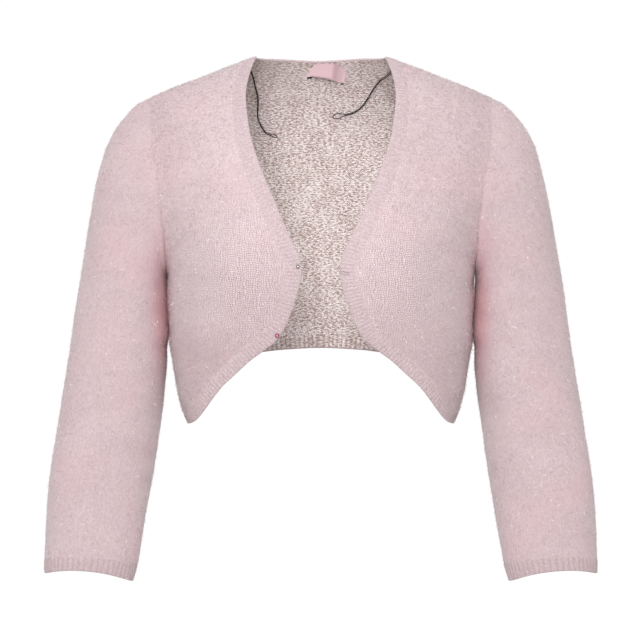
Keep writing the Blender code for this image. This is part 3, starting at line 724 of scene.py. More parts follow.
Fibre = namedtuple("Fibre", "name colour roughness shine")
FIBRES = [
    Fibre("pile_pale", (0.57, 0.50, 0.506), 0.9, 0.2),
    Fibre("pile_pink", (0.505, 0.405, 0.419), 0.9, 0.2),
    Fibre("pile_deep", (0.445, 0.337, 0.354), 0.9, 0.2),
    # The fourth is painted shade: a deeper pink for the crease under the arm.
    Fibre("pile_crease_shade", (0.56, 0.31, 0.335), 0.9, 0.1),
    Fibre("pile_glint", (0.95, 0.93, 0.93), 0.3, 0.8),
]
PILE_SHADES = [
    plain_material(fibre.name, fibre.colour, fibre.roughness, Specular_IOR_Level=fibre.shine)
    for fibre in FIBRES
]
PILE_LIMITS = (0.40, 0.82)
PILE_CREASE_SHADE = 3
PILE_GLINT = 4
GLINT_SHARE = 0.009
GLINT_THICKER = 2.2
WORN_OFF = 0.6
BLUSH_SHARE = 0.2
FIBRE_SPREAD = 0.75
FIBRE_CURL = 0.35
FIBRE_UNEVEN = 0.5
FIBRE_SHORTEST = 0.6
FIBRE_STEEP = 1.3
FIBRE_LEVEL = 0.55
FIBRE_BOW = 0.32
BEND_THICKNESS = 0.8
THICKNESS_LIMITS = (0.6, 3)
ROOT_DEPTH = 0.25
SWIRL = 0.4
RIPPLE = 0.2
NUDGE_DOWN = np.array([0, 0, -1e-6])


def lay_angles(points):
    """Which way the brushed fibres lean at each point, which changes from patch to patch."""
    x, y, z = points.T
    swirl = np.sin(x / 13 + 2.1 * np.sin(z / 19)) + np.sin(z / 11 + 1.7 * np.sin((x + y) / 17))
    return SWIRL * swirl + RIPPLE * np.sin((x - z) / 5.1)


def nearness(points, place):
    """1 at a place on either side of the garment, and falling to 0 round it."""
    away_x = (np.abs(points[..., 0]) - place.x) / place.spread_x
    away_z = (points[..., 2] - place.z) / place.spread_z
    return np.exp(-(away_x**2) - away_z**2)


def blushes(points):
    """Where the pile is a deeper pink (up to 1) or a paler one (down to -1)."""
    x, y, z = points.T
    return np.sin(x / 17 + 1.3 * np.sin(z / 39)) * np.sin(z / 47 + 1.5 * np.sin(x / 21 + y / 41))


def add_pile(name, cloth, count, seed, length=(2.6, 7.0), lift=(0.1, 0.55), width=0.12):
    """Grows brushed fibres on the outside of a cloth, which is given by grids of its points, its normals
    and the way down it. Each fibre is a thin bent sliver that tapers."""
    points, normals, down = cloth
    random = np.random.default_rng(seed)
    corner = points[:-1, :-1]
    span_across, span_down = points[:-1, 1:] - corner, points[1:, :-1] - corner
    area = np.linalg.norm(np.cross(span_across, span_down), axis=-1).ravel()
    worn = np.where(corner[..., 1] < 0, nearness(corner, BUST), 0)
    chance = area * (1 - WORN_OFF * worn).ravel()
    cell = random.choice(area.size, count, p=chance / chance.sum())
    r, c = np.divmod(cell, corner.shape[1])
    s, t = random.random((2, count, 1))

    def read(grid):
        top = grid[r, c] * (1 - s) + grid[r, c + 1] * s
        return top * (1 - t) + (grid[r + 1, c] * (1 - s) + grid[r + 1, c + 1] * s) * t

    root, normal = read(points), unit(read(normals))
    fall = read(down)
    fall = unit(fall - normal * np.sum(fall * normal, axis=1, keepdims=True))
    aside = np.cross(normal, fall)
    angle = (lay_angles(root) + random.normal(0, FIBRE_SPREAD, count))[:, None]
    lean = fall * np.cos(angle) + aside * np.sin(angle)
    rise = random.uniform(*lift, (count, 1))
    long = random.uniform(*length, (count, 1)) * random.uniform(FIBRE_SHORTEST, 1, (count, 1))
    first = unit(lean * (1 - FIBRE_LEVEL * rise) + normal * rise * FIBRE_STEEP)
    second = unit(lean + normal * (rise - FIBRE_BOW) + random.normal(0, FIBRE_CURL, (count, 3)))
    root = root - normal * ROOT_DEPTH
    bend = root + first * long / 2
    tip = bend + second * long / 2
    # Painted shade: fibres at the sides, on the sleeves and on the low fronts take deeper shades.
    low = np.maximum((LOW_Z - root[:, 2]) / LOW_REACH, 0)
    depth = SIDE_PAINTED_SHADE * np.minimum((np.abs(root[:, 0]) / SIDE_X) ** SIDE_POWER + low, 1)
    shade = np.searchsorted(PILE_LIMITS, random.random(count) + BLUSH_SHARE * blushes(root) + depth)
    # Painted shade: fibres by the armpit take a deeper pink, for the crease between the sleeve and the
    # body.
    shade[random.random(count) < nearness(root, UNDER_ARM)] = PILE_CREASE_SHADE
    shade[random.random(count) < GLINT_SHARE] = PILE_GLINT
    usual = np.clip(random.lognormal(0, FIBRE_UNEVEN, count), *THICKNESS_LIMITS)
    thick = width * np.where(shade == PILE_GLINT, GLINT_THICKER, usual)[:, None]
    flat = unit(np.cross(first, normal + random.normal(0, FIBRE_UNEVEN, (count, 3)))) * thick / 2
    thinner = BEND_THICKNESS * flat
    corners = np.stack([root - flat, root + flat, bend - thinner, bend + thinner, tip], axis=1)

    # A fibre has five corners and two faces: four corners up to its bend and three from there on.
    mesh = bpy.data.meshes.new(name)
    mesh.vertices.add(count * 5)
    mesh.vertices.foreach_set("co", (corners * MM).astype(np.float32).ravel())
    first_corner = 5 * np.arange(count)[:, None]
    loops = first_corner + np.array([0, 1, 3, 2, 2, 3, 4])
    mesh.loops.add(count * 7)
    mesh.loops.foreach_set("vertex_index", loops.astype(np.int32).ravel())
    mesh.polygons.add(count * 2)
    starts = (7 * np.arange(count)[:, None] + np.array([0, 4])).ravel()
    mesh.polygons.foreach_set("loop_start", starts.astype(np.int32))
    mesh.polygons.foreach_set("material_index", np.repeat(shade, 2).astype(np.int32))
    mesh.update(calc_edges=True)
    for material in PILE_SHADES:
        mesh.materials.append(material)
    return dress(add_object(name, mesh), "pink_knit")


def stitch_places(points, places, centre):
    """Where points of the front or the back lie among its stitches: across them and down them. centre
    is the turn at the middle of that side."""
    turns, drops = np.linspace(0, 90, 91), np.linspace(0, SIDE_TIP_DROP, 115)
    ring, line = torso(np.abs(centre - turns), ARMPIT_DROP), torso(np.abs(centre - 45.0), drops)
    bulge = np.interp(np.abs(places[..., 0] - centre), turns, run_of(ring) - ring[:, 0])
    rolled = np.interp(places[..., 1], drops, run_of(line) - drops)
    across = (points[..., 0] + np.sign(points[..., 0]) * bulge) * STRETCH
    return np.stack([across, rolled - points[..., 2]], axis=-1)


def front_edge():
    """The free edge of the left front, from the shoulder seam to the point at the side seam."""
    table = locate(column(FRONT_EDGE, "x"), column(FRONT_EDGE, "z"))
    top = locate(np.array([NECK_HALF_WIDTH]), shoulder_z(np.array([NECK_HALF_WIDTH])))
    places = np.concatenate([top, table, [[90.0, SIDE_TIP_DROP]]])
    return evenly(fine_curve(places), FRONT_ROWS)


def front_band_seam(edge):
    share = np.linspace(0, 1, len(edge))
    seam = inset(edge, smooth(column(BAND_WIDTHS, "share"), column(BAND_WIDTHS, "width"), share))
    shoulder_x = np.array([NECK_HALF_WIDTH + BAND_WIDTH_NECK])
    seam[0] = locate(shoulder_x, shoulder_z(shoulder_x))[0]
    seam[-1] = (90.0, SIDE_TIP_DROP - BAND_WIDTH_HEM)
    return seam


def edge_and_seam(edge, seam_of):
    """Many places along the free edge of a band, and along its seam."""
    return refined(edge, FINE), refined(seam_of(edge), FINE)


def beyond(seam, edge):
    """The border of a panel, which laps a little over the seam of its band."""
    seam_points, _ = place_curve(seam)
    edge_points, _ = place_curve(edge)
    return seam_points - SEAM_LAP * unit(seam_points - edge_points)


def column_runs(grid):
    """How far each point of a grid lies down its column."""
    steps = np.linalg.norm(np.diff(grid, axis=0), axis=-1)
    return np.concatenate([np.zeros((1, grid.shape[1])), np.cumsum(steps, axis=0)])


def row_runs(grid):
    return column_runs(grid.swapaxes(0, 1)).T


front_edge_places, front_seam = edge_and_seam(front_edge(), front_band_seam)
side_rows = (FRONT_ROWS - FRONT_ARMHOLE_ROWS) * FINE
outer_border = np.concatenate([armhole(FRONT_ARMHOLE_ROWS * FINE), side_seam(side_rows)[1:]])
across = np.linspace(0, 1, FRONT_COLUMNS + 1)[None, :, None]
front_places = front_seam[:, None] * (1 - across) + outer_border[:, None] * across
front_points, front_normals = place_curve(front_places)
front_points[:, 0] = beyond(front_seam, front_edge_places)
front_points[-1] = front_points[-1, 0]
front_points[0, :, 1] += SEAM_LAP / 2
front_points[FRONT_ARMHOLE_ROWS * FINE :, -1, 1] += SEAM_LAP / 2

from_band = row_runs(front_points)
to_side = from_band[:, -1:] - from_band
front_points = eased(front_points, front_normals, to_side, front_places[..., 1])
front_stitch = stitch_places(front_points, front_places, 0.0)
front_down = np.gradient(front_points, axis=0) + NUDGE_DOWN
for seed, (side, turned) in enumerate(SIDES, start=11):
    outside, inside = settled(turned(front_points), turned(front_normals), FRONT_FOLDS)
    front = add_panel(f"front_{side}_knit", outside, inside, front_stitch, FRONT_KNIT)
    dress(front, "pink_knit", f"front_{side}")
    cloth = (outside, turned(front_normals), turned(front_down))
    pile = add_pile(f"front_{side}_pile", cloth, 30000, seed)

# The front bands are knitted in rib, one column forward and one back, and linked to the fronts. Each
# runs in one piece down the neck, round the bust and along the cut-away hem to the side seam. Their
# ribs lie square to the edge, and the brushing has only touched them.
RIB_PITCH = 3.9
RIB_HEIGHT = 0.4
RIB_SAMPLES = 8
BAND_SAMPLES = 7
EDGE_TURNS = (45, 90, 135)
RIB_CROWN = 0.2
RIB_SLANT = 0.6
RIB_VALLEY = 3.0
RIB_HAZE_RELIEF = 0.6
RIB_STITCH_RELIEF = 0.3
RIB_RELIEF = (0.5, 0.6)
RIB_PINK = (0.48, 0.38, 0.392)
RIB_STARTS = 2.5
RIB_SHAPE = 0.7
RIB_LOW = 0.4
RIB_LOW_INSIDE = 0.5
RIB_TONES = [
    (0.38, (0.425, 0.325, 0.339)),
    (0.50, (0.475, 0.378, 0.39)),
    (0.62, (0.53, 0.44, 0.45)),
]
RIB_HOLLOW = (0.25, 0.165, 0.18)


def rib_face(name, hollow_shade, depth):
    """The right side of a rib: shaded in its hollows by the second number, and all over by the third."""
    material = plain_material(name, RIB_PINK, 1.0)
    n = Nodes(material)
    across, up = n.stitch_axes()
    side = n.from_middle(n.maths("DIVIDE", across, RIB_UNIT))
    turn = n.maths("MULTIPLY_ADD", side, RIB_SLANT, n.maths("DIVIDE", up, STITCH_HEIGHT))
    haze = n.noise(HAZE_FINENESS, 2.0)
    shade = n.maths("MULTIPLY_ADD", n.maths("POWER", side, RIB_VALLEY), hollow_shade, depth)
    n.join(n.mix(shade, n.ramp(haze, *RIB_TONES), RIB_HOLLOW), n.shader.inputs["Base Color"])
    stitches = n.maths("MULTIPLY", n.beat(turn), RIB_STITCH_RELIEF)
    n.raise_by(n.maths("MULTIPLY_ADD", haze, RIB_HAZE_RELIEF, stitches), *RIB_RELIEF)
    n.shader.inputs["Sheen Weight"].default_value = 0.2
    n.shader.inputs["Specular IOR Level"].default_value = 0.15
    return material


RIB = [rib_face("pink_rib_face", 0.08, 0.09), REVERSE]
DEEP_RIB = [rib_face("pink_deep_rib_face", 0.25, 0.28), knit_reverse("pink_deep_rib_reverse", 0.5)]


def band_lines(edge, seam, lap):
    """Points and normals of a band's edge, and of its seam. Their ends lap over the next band."""
    lines = [*place_curve(edge), *place_curve(seam)]
    for points in lines[::2]:
        points[[0, -1], 1] += lap
    return lines


def ribbed_band(name, lines, folds=(), closed=False, pitch=RIB_PITCH, height=RIB_HEIGHT, knit=RIB):
    """A band whose ribs run from its seam to its free edge, which is rounded over. lines are the edge's
    points and normals and the seam's. Gives the cloth of its outside too, for the pile."""
    edge, edge_normals, seam, seam_normals = lines
    ribs = round(run_of((edge + seam) / 2)[-1] / pitch)
    at = np.linspace(0, len(edge) - 1, ribs * RIB_SAMPLES + 1)
    phase = np.linspace(0, ribs, len(at))
    edge, edge_normals = refined(edge, at=at), unit(refined(edge_normals, at=at))
    seam, seam_normals = refined(seam, at=at), unit(refined(seam_normals, at=at))
    edge = edge + unit(seam - edge) * WALL / 2
    across = np.linspace(0, 1, BAND_SAMPLES)[:, None, None]
    points = seam * (1 - across) + edge * across
    normals = unit(seam_normals * (1 - across) + edge_normals * across)
    points = points + normals * RIB_CROWN * np.sin(np.pi * across)
    outside, inside = settled(points, normals, folds)
    wide = np.linalg.norm(edge - seam, axis=-1)
    from_seam = across[..., 0] * wide
    raised = height * np.clip(from_seam / RIB_STARTS, 0, 1)
    ridge = np.abs(np.sin(np.pi * phase)) ** RIB_SHAPE
    back_ridge = np.abs(np.cos(np.pi * phase)) ** RIB_SHAPE
    outside = outside + normals * ((ridge - RIB_LOW) * raised)[..., None]
    inside = inside - normals * ((back_ridge - RIB_LOW_INSIDE) * raised)[..., None]
    middle, half = (outside[-1] + inside[-1]) / 2, (outside[-1] - inside[-1]) / 2
    beyond_edge = unit(edge - seam) * WALL / 2
    turns = [middle + half * np.cos(a) + beyond_edge * np.sin(a) for a in np.radians(EDGE_TURNS)]
    rows = np.concatenate([outside, turns, inside[::-1]])
    up = np.concatenate([from_seam, [from_seam[-1]] * len(turns), from_seam[::-1]])
    stitch = np.stack([np.broadcast_to(phase * RIB_UNIT, up.shape), up], axis=-1)
    first_inner = len(outside) + len(turns)
    band = add_cloth(name + "_rib", rows, first_inner, stitch, knit, closed)
    dress(band, "pink_rib", name)
    return band, (outside, normals, np.gradient(outside, axis=0))


def add_band_pile(name, cloth, count, seed):
    """Short fibres that lie along the ribs, towards the free edge and a little past it."""
    return add_pile(name, cloth, count, seed, length=(1.6, 4.2), lift=(0.1, 0.5), width=0.11)


front_lines = band_lines(front_edge_places, front_seam, SEAM_LAP / 2)
for seed, (side, turned) in enumerate(SIDES, start=21):
    lines = [turned(line) for line in front_lines]
    band, cloth = ribbed_band(f"front_band_{side}", lines, FRONT_FOLDS)
    pile = add_band_pile(f"front_band_{side}_pile", cloth, 11000, seed)

# The back is one panel of the same brushed knit, shorter than the fronts, with its hem arched up
# between the side seams. Its wrong side shows through the open front.
BACK_ROWS = 20
BACK_ARMHOLE_ROWS = 12
SHOULDER_COLUMNS = 5
NECK_COLUMNS = 7
BACK_HEM = [
    EdgePoint(0, -292.0),
    EdgePoint(50, -295.0),
    EdgePoint(76, -300.5),
    EdgePoint(100, -314.0),
    EdgePoint(119, -336.0),
    EdgePoint(130.5, -357.0),
]
BACK_FOLDS = [
    Fold(158, 12, -208, 112, 88, -190, 1.6, 9),
    Fold(158, 12, -226, 96, 96, -246, 1.8, 10),
    Fold(-158, 12, -204, -118, 84, -184, 1.7, 8),
    Fold(-158, 12, -222, -92, 98, -236, 1.5, 10),
    Fold(-150, 10, -276, -104, 84, -292, 1.2, 11),
    Fold(40, 84, -60, -48, 88, -74, 1.1, 12),
]


def back_places(x, z):
    places = locate(np.abs(x), z, back=True)
    places[:, 0] = np.where(x < 0, 360 - places[:, 0], places[:, 0])
    return places


def neck_edge():
    """The free edge of the back neck, from the left shoulder seam to the right one."""
    angle = np.radians(np.linspace(90, -90, 2 * NECK_COLUMNS + 1))
    x = NECK_HALF_WIDTH * np.sin(angle)
    return back_places(x, shoulder_z(x))


def neck_band_seam(edge):
    places = inset(edge[::-1], np.full(len(edge), BAND_WIDTH_NECK))[::-1]
    shoulder_x = NECK_HALF_WIDTH + BAND_WIDTH_NECK
    ends = np.array([shoulder_x, -shoulder_x])
    places[[0, -1]] = back_places(ends, shoulder_z(ends))
    return places


def other_side(places):
    return np.stack([360 - places[:, 0], places[:, 1]], axis=-1)


def mirrored_places(half):
    """A curve from the left side to the centre back, carried on to the right side."""
    return np.concatenate([half, other_side(half[-2::-1])])


def back_hem():
    half = locate(column(BACK_HEM, "x"), column(BACK_HEM, "z"), back=True)
    half = np.concatenate([half, [[90.0, SIDE_TIP_DROP]]])[::-1]
    return mirrored_places(evenly(fine_curve(half), SHOULDER_COLUMNS + NECK_COLUMNS))


def hem_band_seam(edge):
    half = inset(edge, np.full(len(edge), BAND_WIDTH_HEM))[: len(edge) // 2 + 1]
    half[0] = (90.0, SIDE_TIP_DROP - BAND_WIDTH_HEM)
    half[-1, 0] = 180.0
    return mirrored_places(half)


def coons(top, bottom, left, right):
    """Fills four border curves of places with a grid of places."""
    down = np.linspace(0, 1, len(left))[:, None, None]
    across = np.linspace(0, 1, len(top))[None, :, None]
    ruled = top[None] * (1 - down) + bottom[None] * down
    ruled = ruled + left[:, None] * (1 - across) + right[:, None] * across
    corners = (top[0] * (1 - across) + top[-1] * across) * (1 - down)
    corners = corners + (bottom[0] * (1 - across) + bottom[-1] * across) * down
    return ruled - corners


neck_edge_places, neck_seam = edge_and_seam(neck_edge(), neck_band_seam)
hem_edge_places, hem_seam = edge_and_seam(back_hem(), hem_band_seam)
left = armhole(BACK_ARMHOLE_ROWS * FINE, back=True)
left = np.concatenate([left, side_seam((BACK_ROWS - BACK_ARMHOLE_ROWS) * FINE)[1:]])
right = other_side(left)
shoulder = SHOULDER_COLUMNS * FINE
to_neck = np.linspace(left[0], neck_seam[0], shoulder + 1)[:-1]
top = mirrored_places(np.concatenate([to_neck, neck_seam[: NECK_COLUMNS * FINE + 1]]))
back_places_grid = coons(top, hem_seam, left, right)

# The rows follow the borders at the sides, and are spread evenly in the middle of the panel.
down = np.linspace(0, 1, len(left))[:, None]
even_drops = back_places_grid[:1, :, 1] * (1 - down) + back_places_grid[-1:, :, 1] * down
in_from_side = 1 - np.abs(np.linspace(-1, 1, len(top)))
middle = smooth(np.array([0, 0.6, 1]), np.array([0, 1.0, 1.0]), in_from_side)
back_places_grid[..., 1] += (even_drops - back_places_grid[..., 1]) * middle
back_points, back_normals = place_curve(back_places_grid)
back_points[0, shoulder:-shoulder] = beyond(neck_seam, neck_edge_places)
back_points[-1] = beyond(hem_seam, hem_edge_places)
back_points[0, : shoulder + 1, 1] -= SEAM_LAP / 2
back_points[0, -shoulder - 1 :, 1] -= SEAM_LAP / 2
back_points[BACK_ARMHOLE_ROWS * FINE :, [0, -1], 1] -= SEAM_LAP / 2

across_run = row_runs(back_points)
to_side = np.minimum(across_run, across_run[:, -1:] - across_run)
back_points = eased(back_points, back_normals, to_side, back_places_grid[..., 1])
outside, inside = settled(back_points, back_normals, BACK_FOLDS)
back_stitch = stitch_places(back_points, back_places_grid, 180.0)
back = add_panel("back_knit", outside, inside, back_stitch, KNIT)
dress(back, "pink_knit", "back")
back_down = np.gradient(back_points, axis=0) + NUDGE_DOWN
pile = add_pile("back_pile", (outside, back_normals, back_down), 36000, 31)

# The back has two ribbed bands of its own, one round the neck and one along the hem. They meet the
# front bands at the shoulder seams and the side seams. The hem's ribs are wider and stand out more.
lines = band_lines(neck_edge_places, neck_seam, -SEAM_LAP / 2)
neck_band, cloth = ribbed_band("back_neck_band", lines)
pile = add_band_pile("back_neck_band_pile", cloth, 3500, 41)

lines = band_lines(hem_edge_places, hem_seam, -SEAM_LAP / 2)
hem_band, cloth = ribbed_band("back_hem_band", lines, BACK_FOLDS, pitch=4.8, height=1.1, knit=DEEP_RIB)
pile = add_band_pile("back_hem_band_pile", cloth, 6500, 42)

# Each sleeve is knitted as one panel and closed along the inside of the arm. It is set into the
# armhole, widest at the top, and narrows to just below the elbow.
SLEEVE_ROUNDNESS = 2.15
CUFF_ARCH = 8.0
ARCHED_SECTIONS = 4
CREASE_STARTS = 130.0
CREASE_LIFT = 0.4
SETTLED_SECTION = 7
LEAN = 3.3
LEAN_END_Z = -292.0
LEAN_FADE = 18.0
LEAN_SPREAD = 14.0
SLEEVE_FINE = 7
Section = namedtuple("Section", "outer_x outer_z inner_x inner_z half_depth centre_y")
SLEEVE_SECTIONS = [
    Section(184.0, -47.0, 157.4, -217.2, 55.0, 0.0),
    Section(196.0, -59.0, 157.6, -221.0, 54.5, 0.5),
    Section(206.0, -73.0, 157.3, -226.0, 53.5, 1.0),
    Section(213.5, -88.0, 156.9, -232.0, 52.5, 1.5),
    Section(219.0, -106.0, 156.4, -240.0, 51.0, 2.0),
    Section(224.3, -128.0, 155.8, -251.0, 49.5, 2.5),
    Section(229.5, -155.0, 155.0, -266.0, 48.0, 3.0),
    Section(235.0, -187.0, 154.1, -285.0, 46.5, 3.5),
    Section(241.0, -223.0, 153.9, -308.0, 45.0, 3.5),
    Section(247.0, -264.0, 157.0, -340.0, 43.0, 2.5),
    Section(253.5, -309.0, 161.5, -375.0, 40.5, 0.0),
    Section(261.0, -358.0, 167.0, -414.0, 38.0, -4.0),
    Section(268.8, -409.0, 173.5, -453.0, 35.5, -8.5),
    Section(273.2, -462.0, 178.8, -485.0, 33.0, -12.5),
    Section(274.6, -500.0, 182.2, -505.5, 31.5, -14.5),
    Section(274.3, -514.5, 186.8, -522.5, 30.5, -15.0),
]
SLEEVE_FOLDS = [
    Fold(160, -30, -236, 196, -46, -214, 1.6, 8),
    Fold(158, -26, -262, 204, -44, -252, 1.8, 9),
    Fold(162, 30, -240, 200, 48, -216, 1.7, 9),
    Fold(160, -20, -352, 214, -42, -338, 1.6, 9),
    Fold(164, -20, -384, 226, -42, -382, 1.9, 10),
    Fold(168, -22, -414, 220, -42, -420, 1.3, 9),
    Fold(163, 22, -366, 214, 40, -356, 1.4, 10),
    Fold(262, 20, -352, 236, 38, -344, 1.2, 11),
    Fold(-160, -28, -232, -190, -48, -204, 1.8, 8),
    Fold(-158, -26, -256, -206, -44, -240, 1.5, 9),
    Fold(-162, 30, -244, -196, 48, -224, 1.6, 9),
    Fold(-161, -20, -360, -216, -41, -352, 1.8, 9),
    Fold(-166, -20, -396, -222, -42, -390, 1.5, 10),
    Fold(-170, -22, -428, -216, -42, -436, 1.2, 9),
    Fold(-164, 22, -376, -216, 40, -362, 1.5, 10),
    Fold(-264, 20, -366, -238, 36, -352, 1.1, 11),
]


def armhole_ring():
    """The left armhole, down the front and up the back: points, normals, ways across the seam, drops."""
    front = armhole(FRONT_ARMHOLE_ROWS * FINE)
    behind = armhole(BACK_ARMHOLE_ROWS * FINE, back=True)[-2:0:-1]
    places = np.concatenate([front, behind])
    points, normals = place_curve(places)
    travel = np.roll(points, -1, axis=0) - np.roll(points, 1, axis=0)
    travel -= normals * np.sum(travel * normals, axis=1, keepdims=True)
    across = unit(np.cross(normals, travel))
    into_hole = np.where(np.arange(len(places)) <= FRONT_ARMHOLE_ROWS * FINE, 1.0, -1.0)
    hint = torso(places[:, 0] + into_hole, np.maximum(places[:, 1] - 1, 0)) - points
    across *= np.sign(np.sum(across * hint, axis=1, keepdims=True))
    return points, normals, across, places[:, 1]


def sleeve_rings():
    """Rings of points from the armhole to the cuff's edge. Each runs down the front and up the back."""
    ring, body_normals, across, drop = armhole_ring()
    crease = np.clip((drop - CREASE_STARTS) / (ARMPIT_DROP - CREASE_STARTS), 0, 1)[:, None]
    start = ring - SEAM_LAP * across + CREASE_LIFT * crease * body_normals
    armpit = FRONT_ARMHOLE_ROWS * FINE

    outer, inner = start[0], start[armpit]
    centre = (outer + inner) / 2
    centre[1] = (start[:, 1].max() + start[:, 1].min()) / 2
    axis = unit((outer - inner) * [1, 0, 1])
    out = np.array([axis[2], 0, -axis[0]])
    half_width = np.linalg.norm((outer - inner)[[0, 2]]) / 2
    half_depth = (start[:, 1].max() - start[:, 1].min()) / 2
    from_centre = start - centre
    shape = np.stack([from_centre @ axis / half_width, from_centre[:, 1] / half_depth], axis=-1)
    bow = from_centre @ out

    front_angles = np.linspace(0, 180, armpit + 1)
    back_angles = np.linspace(180, 360, BACK_ARMHOLE_ROWS * FINE + 1)[1:-1]
    angle = np.radians(np.concatenate([front_angles, back_angles]))
    power = 2 / SLEEVE_ROUNDNESS
    regular = np.stack([signed_power(np.cos(angle), power), -signed_power(np.sin(angle), power)], axis=-1)

    rings = [start]
    for number, section in enumerate(SLEEVE_SECTIONS, start=1):
        outer = np.array([section.outer_x, 0, section.outer_z])
        inner = np.array([section.inner_x, 0, section.inner_z])
        axis = unit(outer - inner)
        out = np.array([axis[2], 0, -axis[0]])
        t = min(number / SETTLED_SECTION, 1)
        blend = t * t * (3 - 2 * t)
        form = shape * (1 - blend) + regular * blend
        middle = (outer + inner) / 2 + [0, section.centre_y, 0]
        points = middle + form[:, :1] * np.linalg.norm(outer - inner) / 2 * axis
        points = points + form[:, 1:] * section.half_depth * np.array([0, 1, 0])
        points = points + (bow * (1 - blend) ** 2)[:, None] * out
        arched = max(0, number - len(SLEEVE_SECTIONS) + ARCHED_SECTIONS) / ARCHED_SECTIONS
        points[:, 2] += CUFF_ARCH * arched * form[:, 1] ** 2
        rings.append(points)
    return np.array(rings), armpit


def from_underarm(grid, armpit):
    """Turns each ring so that it starts and ends at the seam under the arm."""
    grid = np.roll(grid, -armpit, axis=1)
    return np.concatenate([grid, grid[:, :1]], axis=1)


def leaning(rings):
    """Lets the inside of the sleeve swell against the body for a short way below the armpit."""
    below = smooth(np.array([0, 1.0, 2.0]), np.array([0, 1.0, 1.0]), np.arange(len(rings)) / SLEEVE_FINE)
    above = np.clip((rings[..., 2] - LEAN_END_Z) / LEAN_FADE, 0, 1)
    inner = np.exp(-(((rings[..., 0] - ARMHOLE_SEAM[-1].x) / LEAN_SPREAD) ** 2))
    lean = LEAN * below[:, None] * above * above * (3 - 2 * above) * inner
    return rings - lean[..., None] * [1, 0, 0]


coarse_rings, armpit = sleeve_rings()
rings = leaning(refined(coarse_rings, SLEEVE_FINE))
along = np.gradient(rings, axis=0)
around = np.roll(rings, -1, axis=1) - np.roll(rings, 1, axis=1)
ring_normals = unit(np.cross(along, around))
outwards = rings[-1] - rings[-1].mean(axis=0)
ring_normals *= np.sign(np.sum(ring_normals[-1] * outwards))
rings, ring_normals = from_underarm(rings, armpit)[:, ::2], from_underarm(ring_normals, armpit)[:, ::2]
cuff_row = (len(coarse_rings) - 2) * SLEEVE_FINE
sleeve_points, sleeve_normals = rings[: cuff_row + 1], ring_normals[: cuff_row + 1]
down_run, round_run = column_runs(sleeve_points), row_runs(sleeve_points)
to_outer = round_run - round_run[:, round_run.shape[1] // 2, None]
armhole_drops = from_underarm(armhole_ring()[3][None], armpit)[:, ::2]
sleeve_points = eased(sleeve_points, sleeve_normals, down_run, armhole_drops)
sleeve_stitch = np.stack([to_outer, down_run], axis=-1)
for seed, (side, turned) in enumerate(SIDES, start=51):
    outside, inside = settled(turned(sleeve_points), turned(sleeve_normals), SLEEVE_FOLDS)
    sleeve = add_panel(f"sleeve_{side}_knit", outside, inside, sleeve_stitch, KNIT, closed=True)
    dress(sleeve, "pink_knit", f"sleeve_{side}")
    cloth = (outside, turned(sleeve_normals), np.gradient(outside, axis=0))
    pile = add_pile(f"sleeve_{side}_pile", cloth, 44000, seed)

# The cuffs are narrow knitted bands, linked to the ends of the sleeves. Their ribs are wide like those
# of the back hem but lower, and their free edge bows up a little at the front and at the back.
for seed, (side, turned) in enumerate(SIDES, start=61):
    edge, top = rings[-1], rings[cuff_row]
    top = top - SEAM_LAP * unit(edge - top)
    lines = [turned(line) for line in (edge, ring_normals[-1], top, ring_normals[cuff_row])]
    cuff, cloth = ribbed_band(f"cuff_{side}", lines, closed=True, pitch=5.6, height=0.5, knit=DEEP_RIB)
    pile = add_band_pile(f"cuff_{side}_pile", cloth, 3200, seed)

# The label is a short bare tape of pink satin. Both its ends are sewn down just under the back neck band,
# so it stands off between them. Short bits of dark thread at its lower corners stand for the shade in the
# gaps behind the tape: painted shadow.
LABEL_THICK = 0.5
LABEL_ROWS = 8
LABEL_SEAT = 0.4
LABEL_FINE = 6
LabelSection = namedtuple("LabelSection", "high_x high_z low_x low_z off")
LABEL_SECTIONS = [
    LabelSection(-11.5, -8.9, -14.0, -14.4, 0.0),
    LabelSection(-8.5, -4.8, -12.0, -14.1, 2.8),
    LabelSection(-4.5, -2.2, -8.3, -13.9, 4.8),
    LabelSection(4.3, -2.0, 2.2, -15.7, 7.2),
    LabelSection(12.6, -2.3, 10.6, -17.4, 9.6),
    LabelSection(18.2, -3.2, 15.8, -18.6, 3.6),
    LabelSection(23.0, -5.6, 20.2, -19.9, 0.8),
    LabelSection(26.2, -11.4, 23.4, -20.5, 0.2),
]
# Painted shadow: dark thread where the gaps behind the tape's lower corners lie in shade.
ShadowTack = namedtuple("ShadowTack", "x0 z0 x1 z1 thick")
LABEL_SHADOW_TACKS = [ShadowTack(-14.0, -15.0, -9.2, -14.8, 1.6), ShadowTack(20.8, -20.8, 23.6, -21.2, 0.9)]


def before_back(x, z, off):
    """Points that stand straight in front of the inside of the back."""
    base, _ = place_curve(back_places(np.ravel(x), np.ravel(z)))
    y = base[:, 1].reshape(np.shape(x)) - WALL - LABEL_SEAT - off
    return np.stack([x, y, z], axis=-1)


label_sections = refined(np.array(LABEL_SECTIONS), LABEL_FINE)
down = np.linspace(0, 1, LABEL_ROWS)[:, None]
label_x = label_sections[:, 0] * (1 - down) + label_sections[:, 2] * down
label_z = label_sections[:, 1] * (1 - down) + label_sections[:, 3] * down
label_off = np.broadcast_to(label_sections[:, 4], label_x.shape)
behind = before_back(label_x, label_z, label_off)
before = before_back(label_x, label_z, label_off + LABEL_THICK)
stitch = np.stack([label_x, label_z], axis=-1)
satin = plain_material("pink_satin", (0.74, 0.525, 0.56), 0.38, Specular_IOR_Level=0.6)
label = add_panel("neck_label_tape", before, behind, stitch, [satin])
dress(label, "pink_satin", "neck_label")

black_thread = plain_material("black_thread", (0.008, 0.005, 0.005), 0.8, Specular_IOR_Level=0.1)


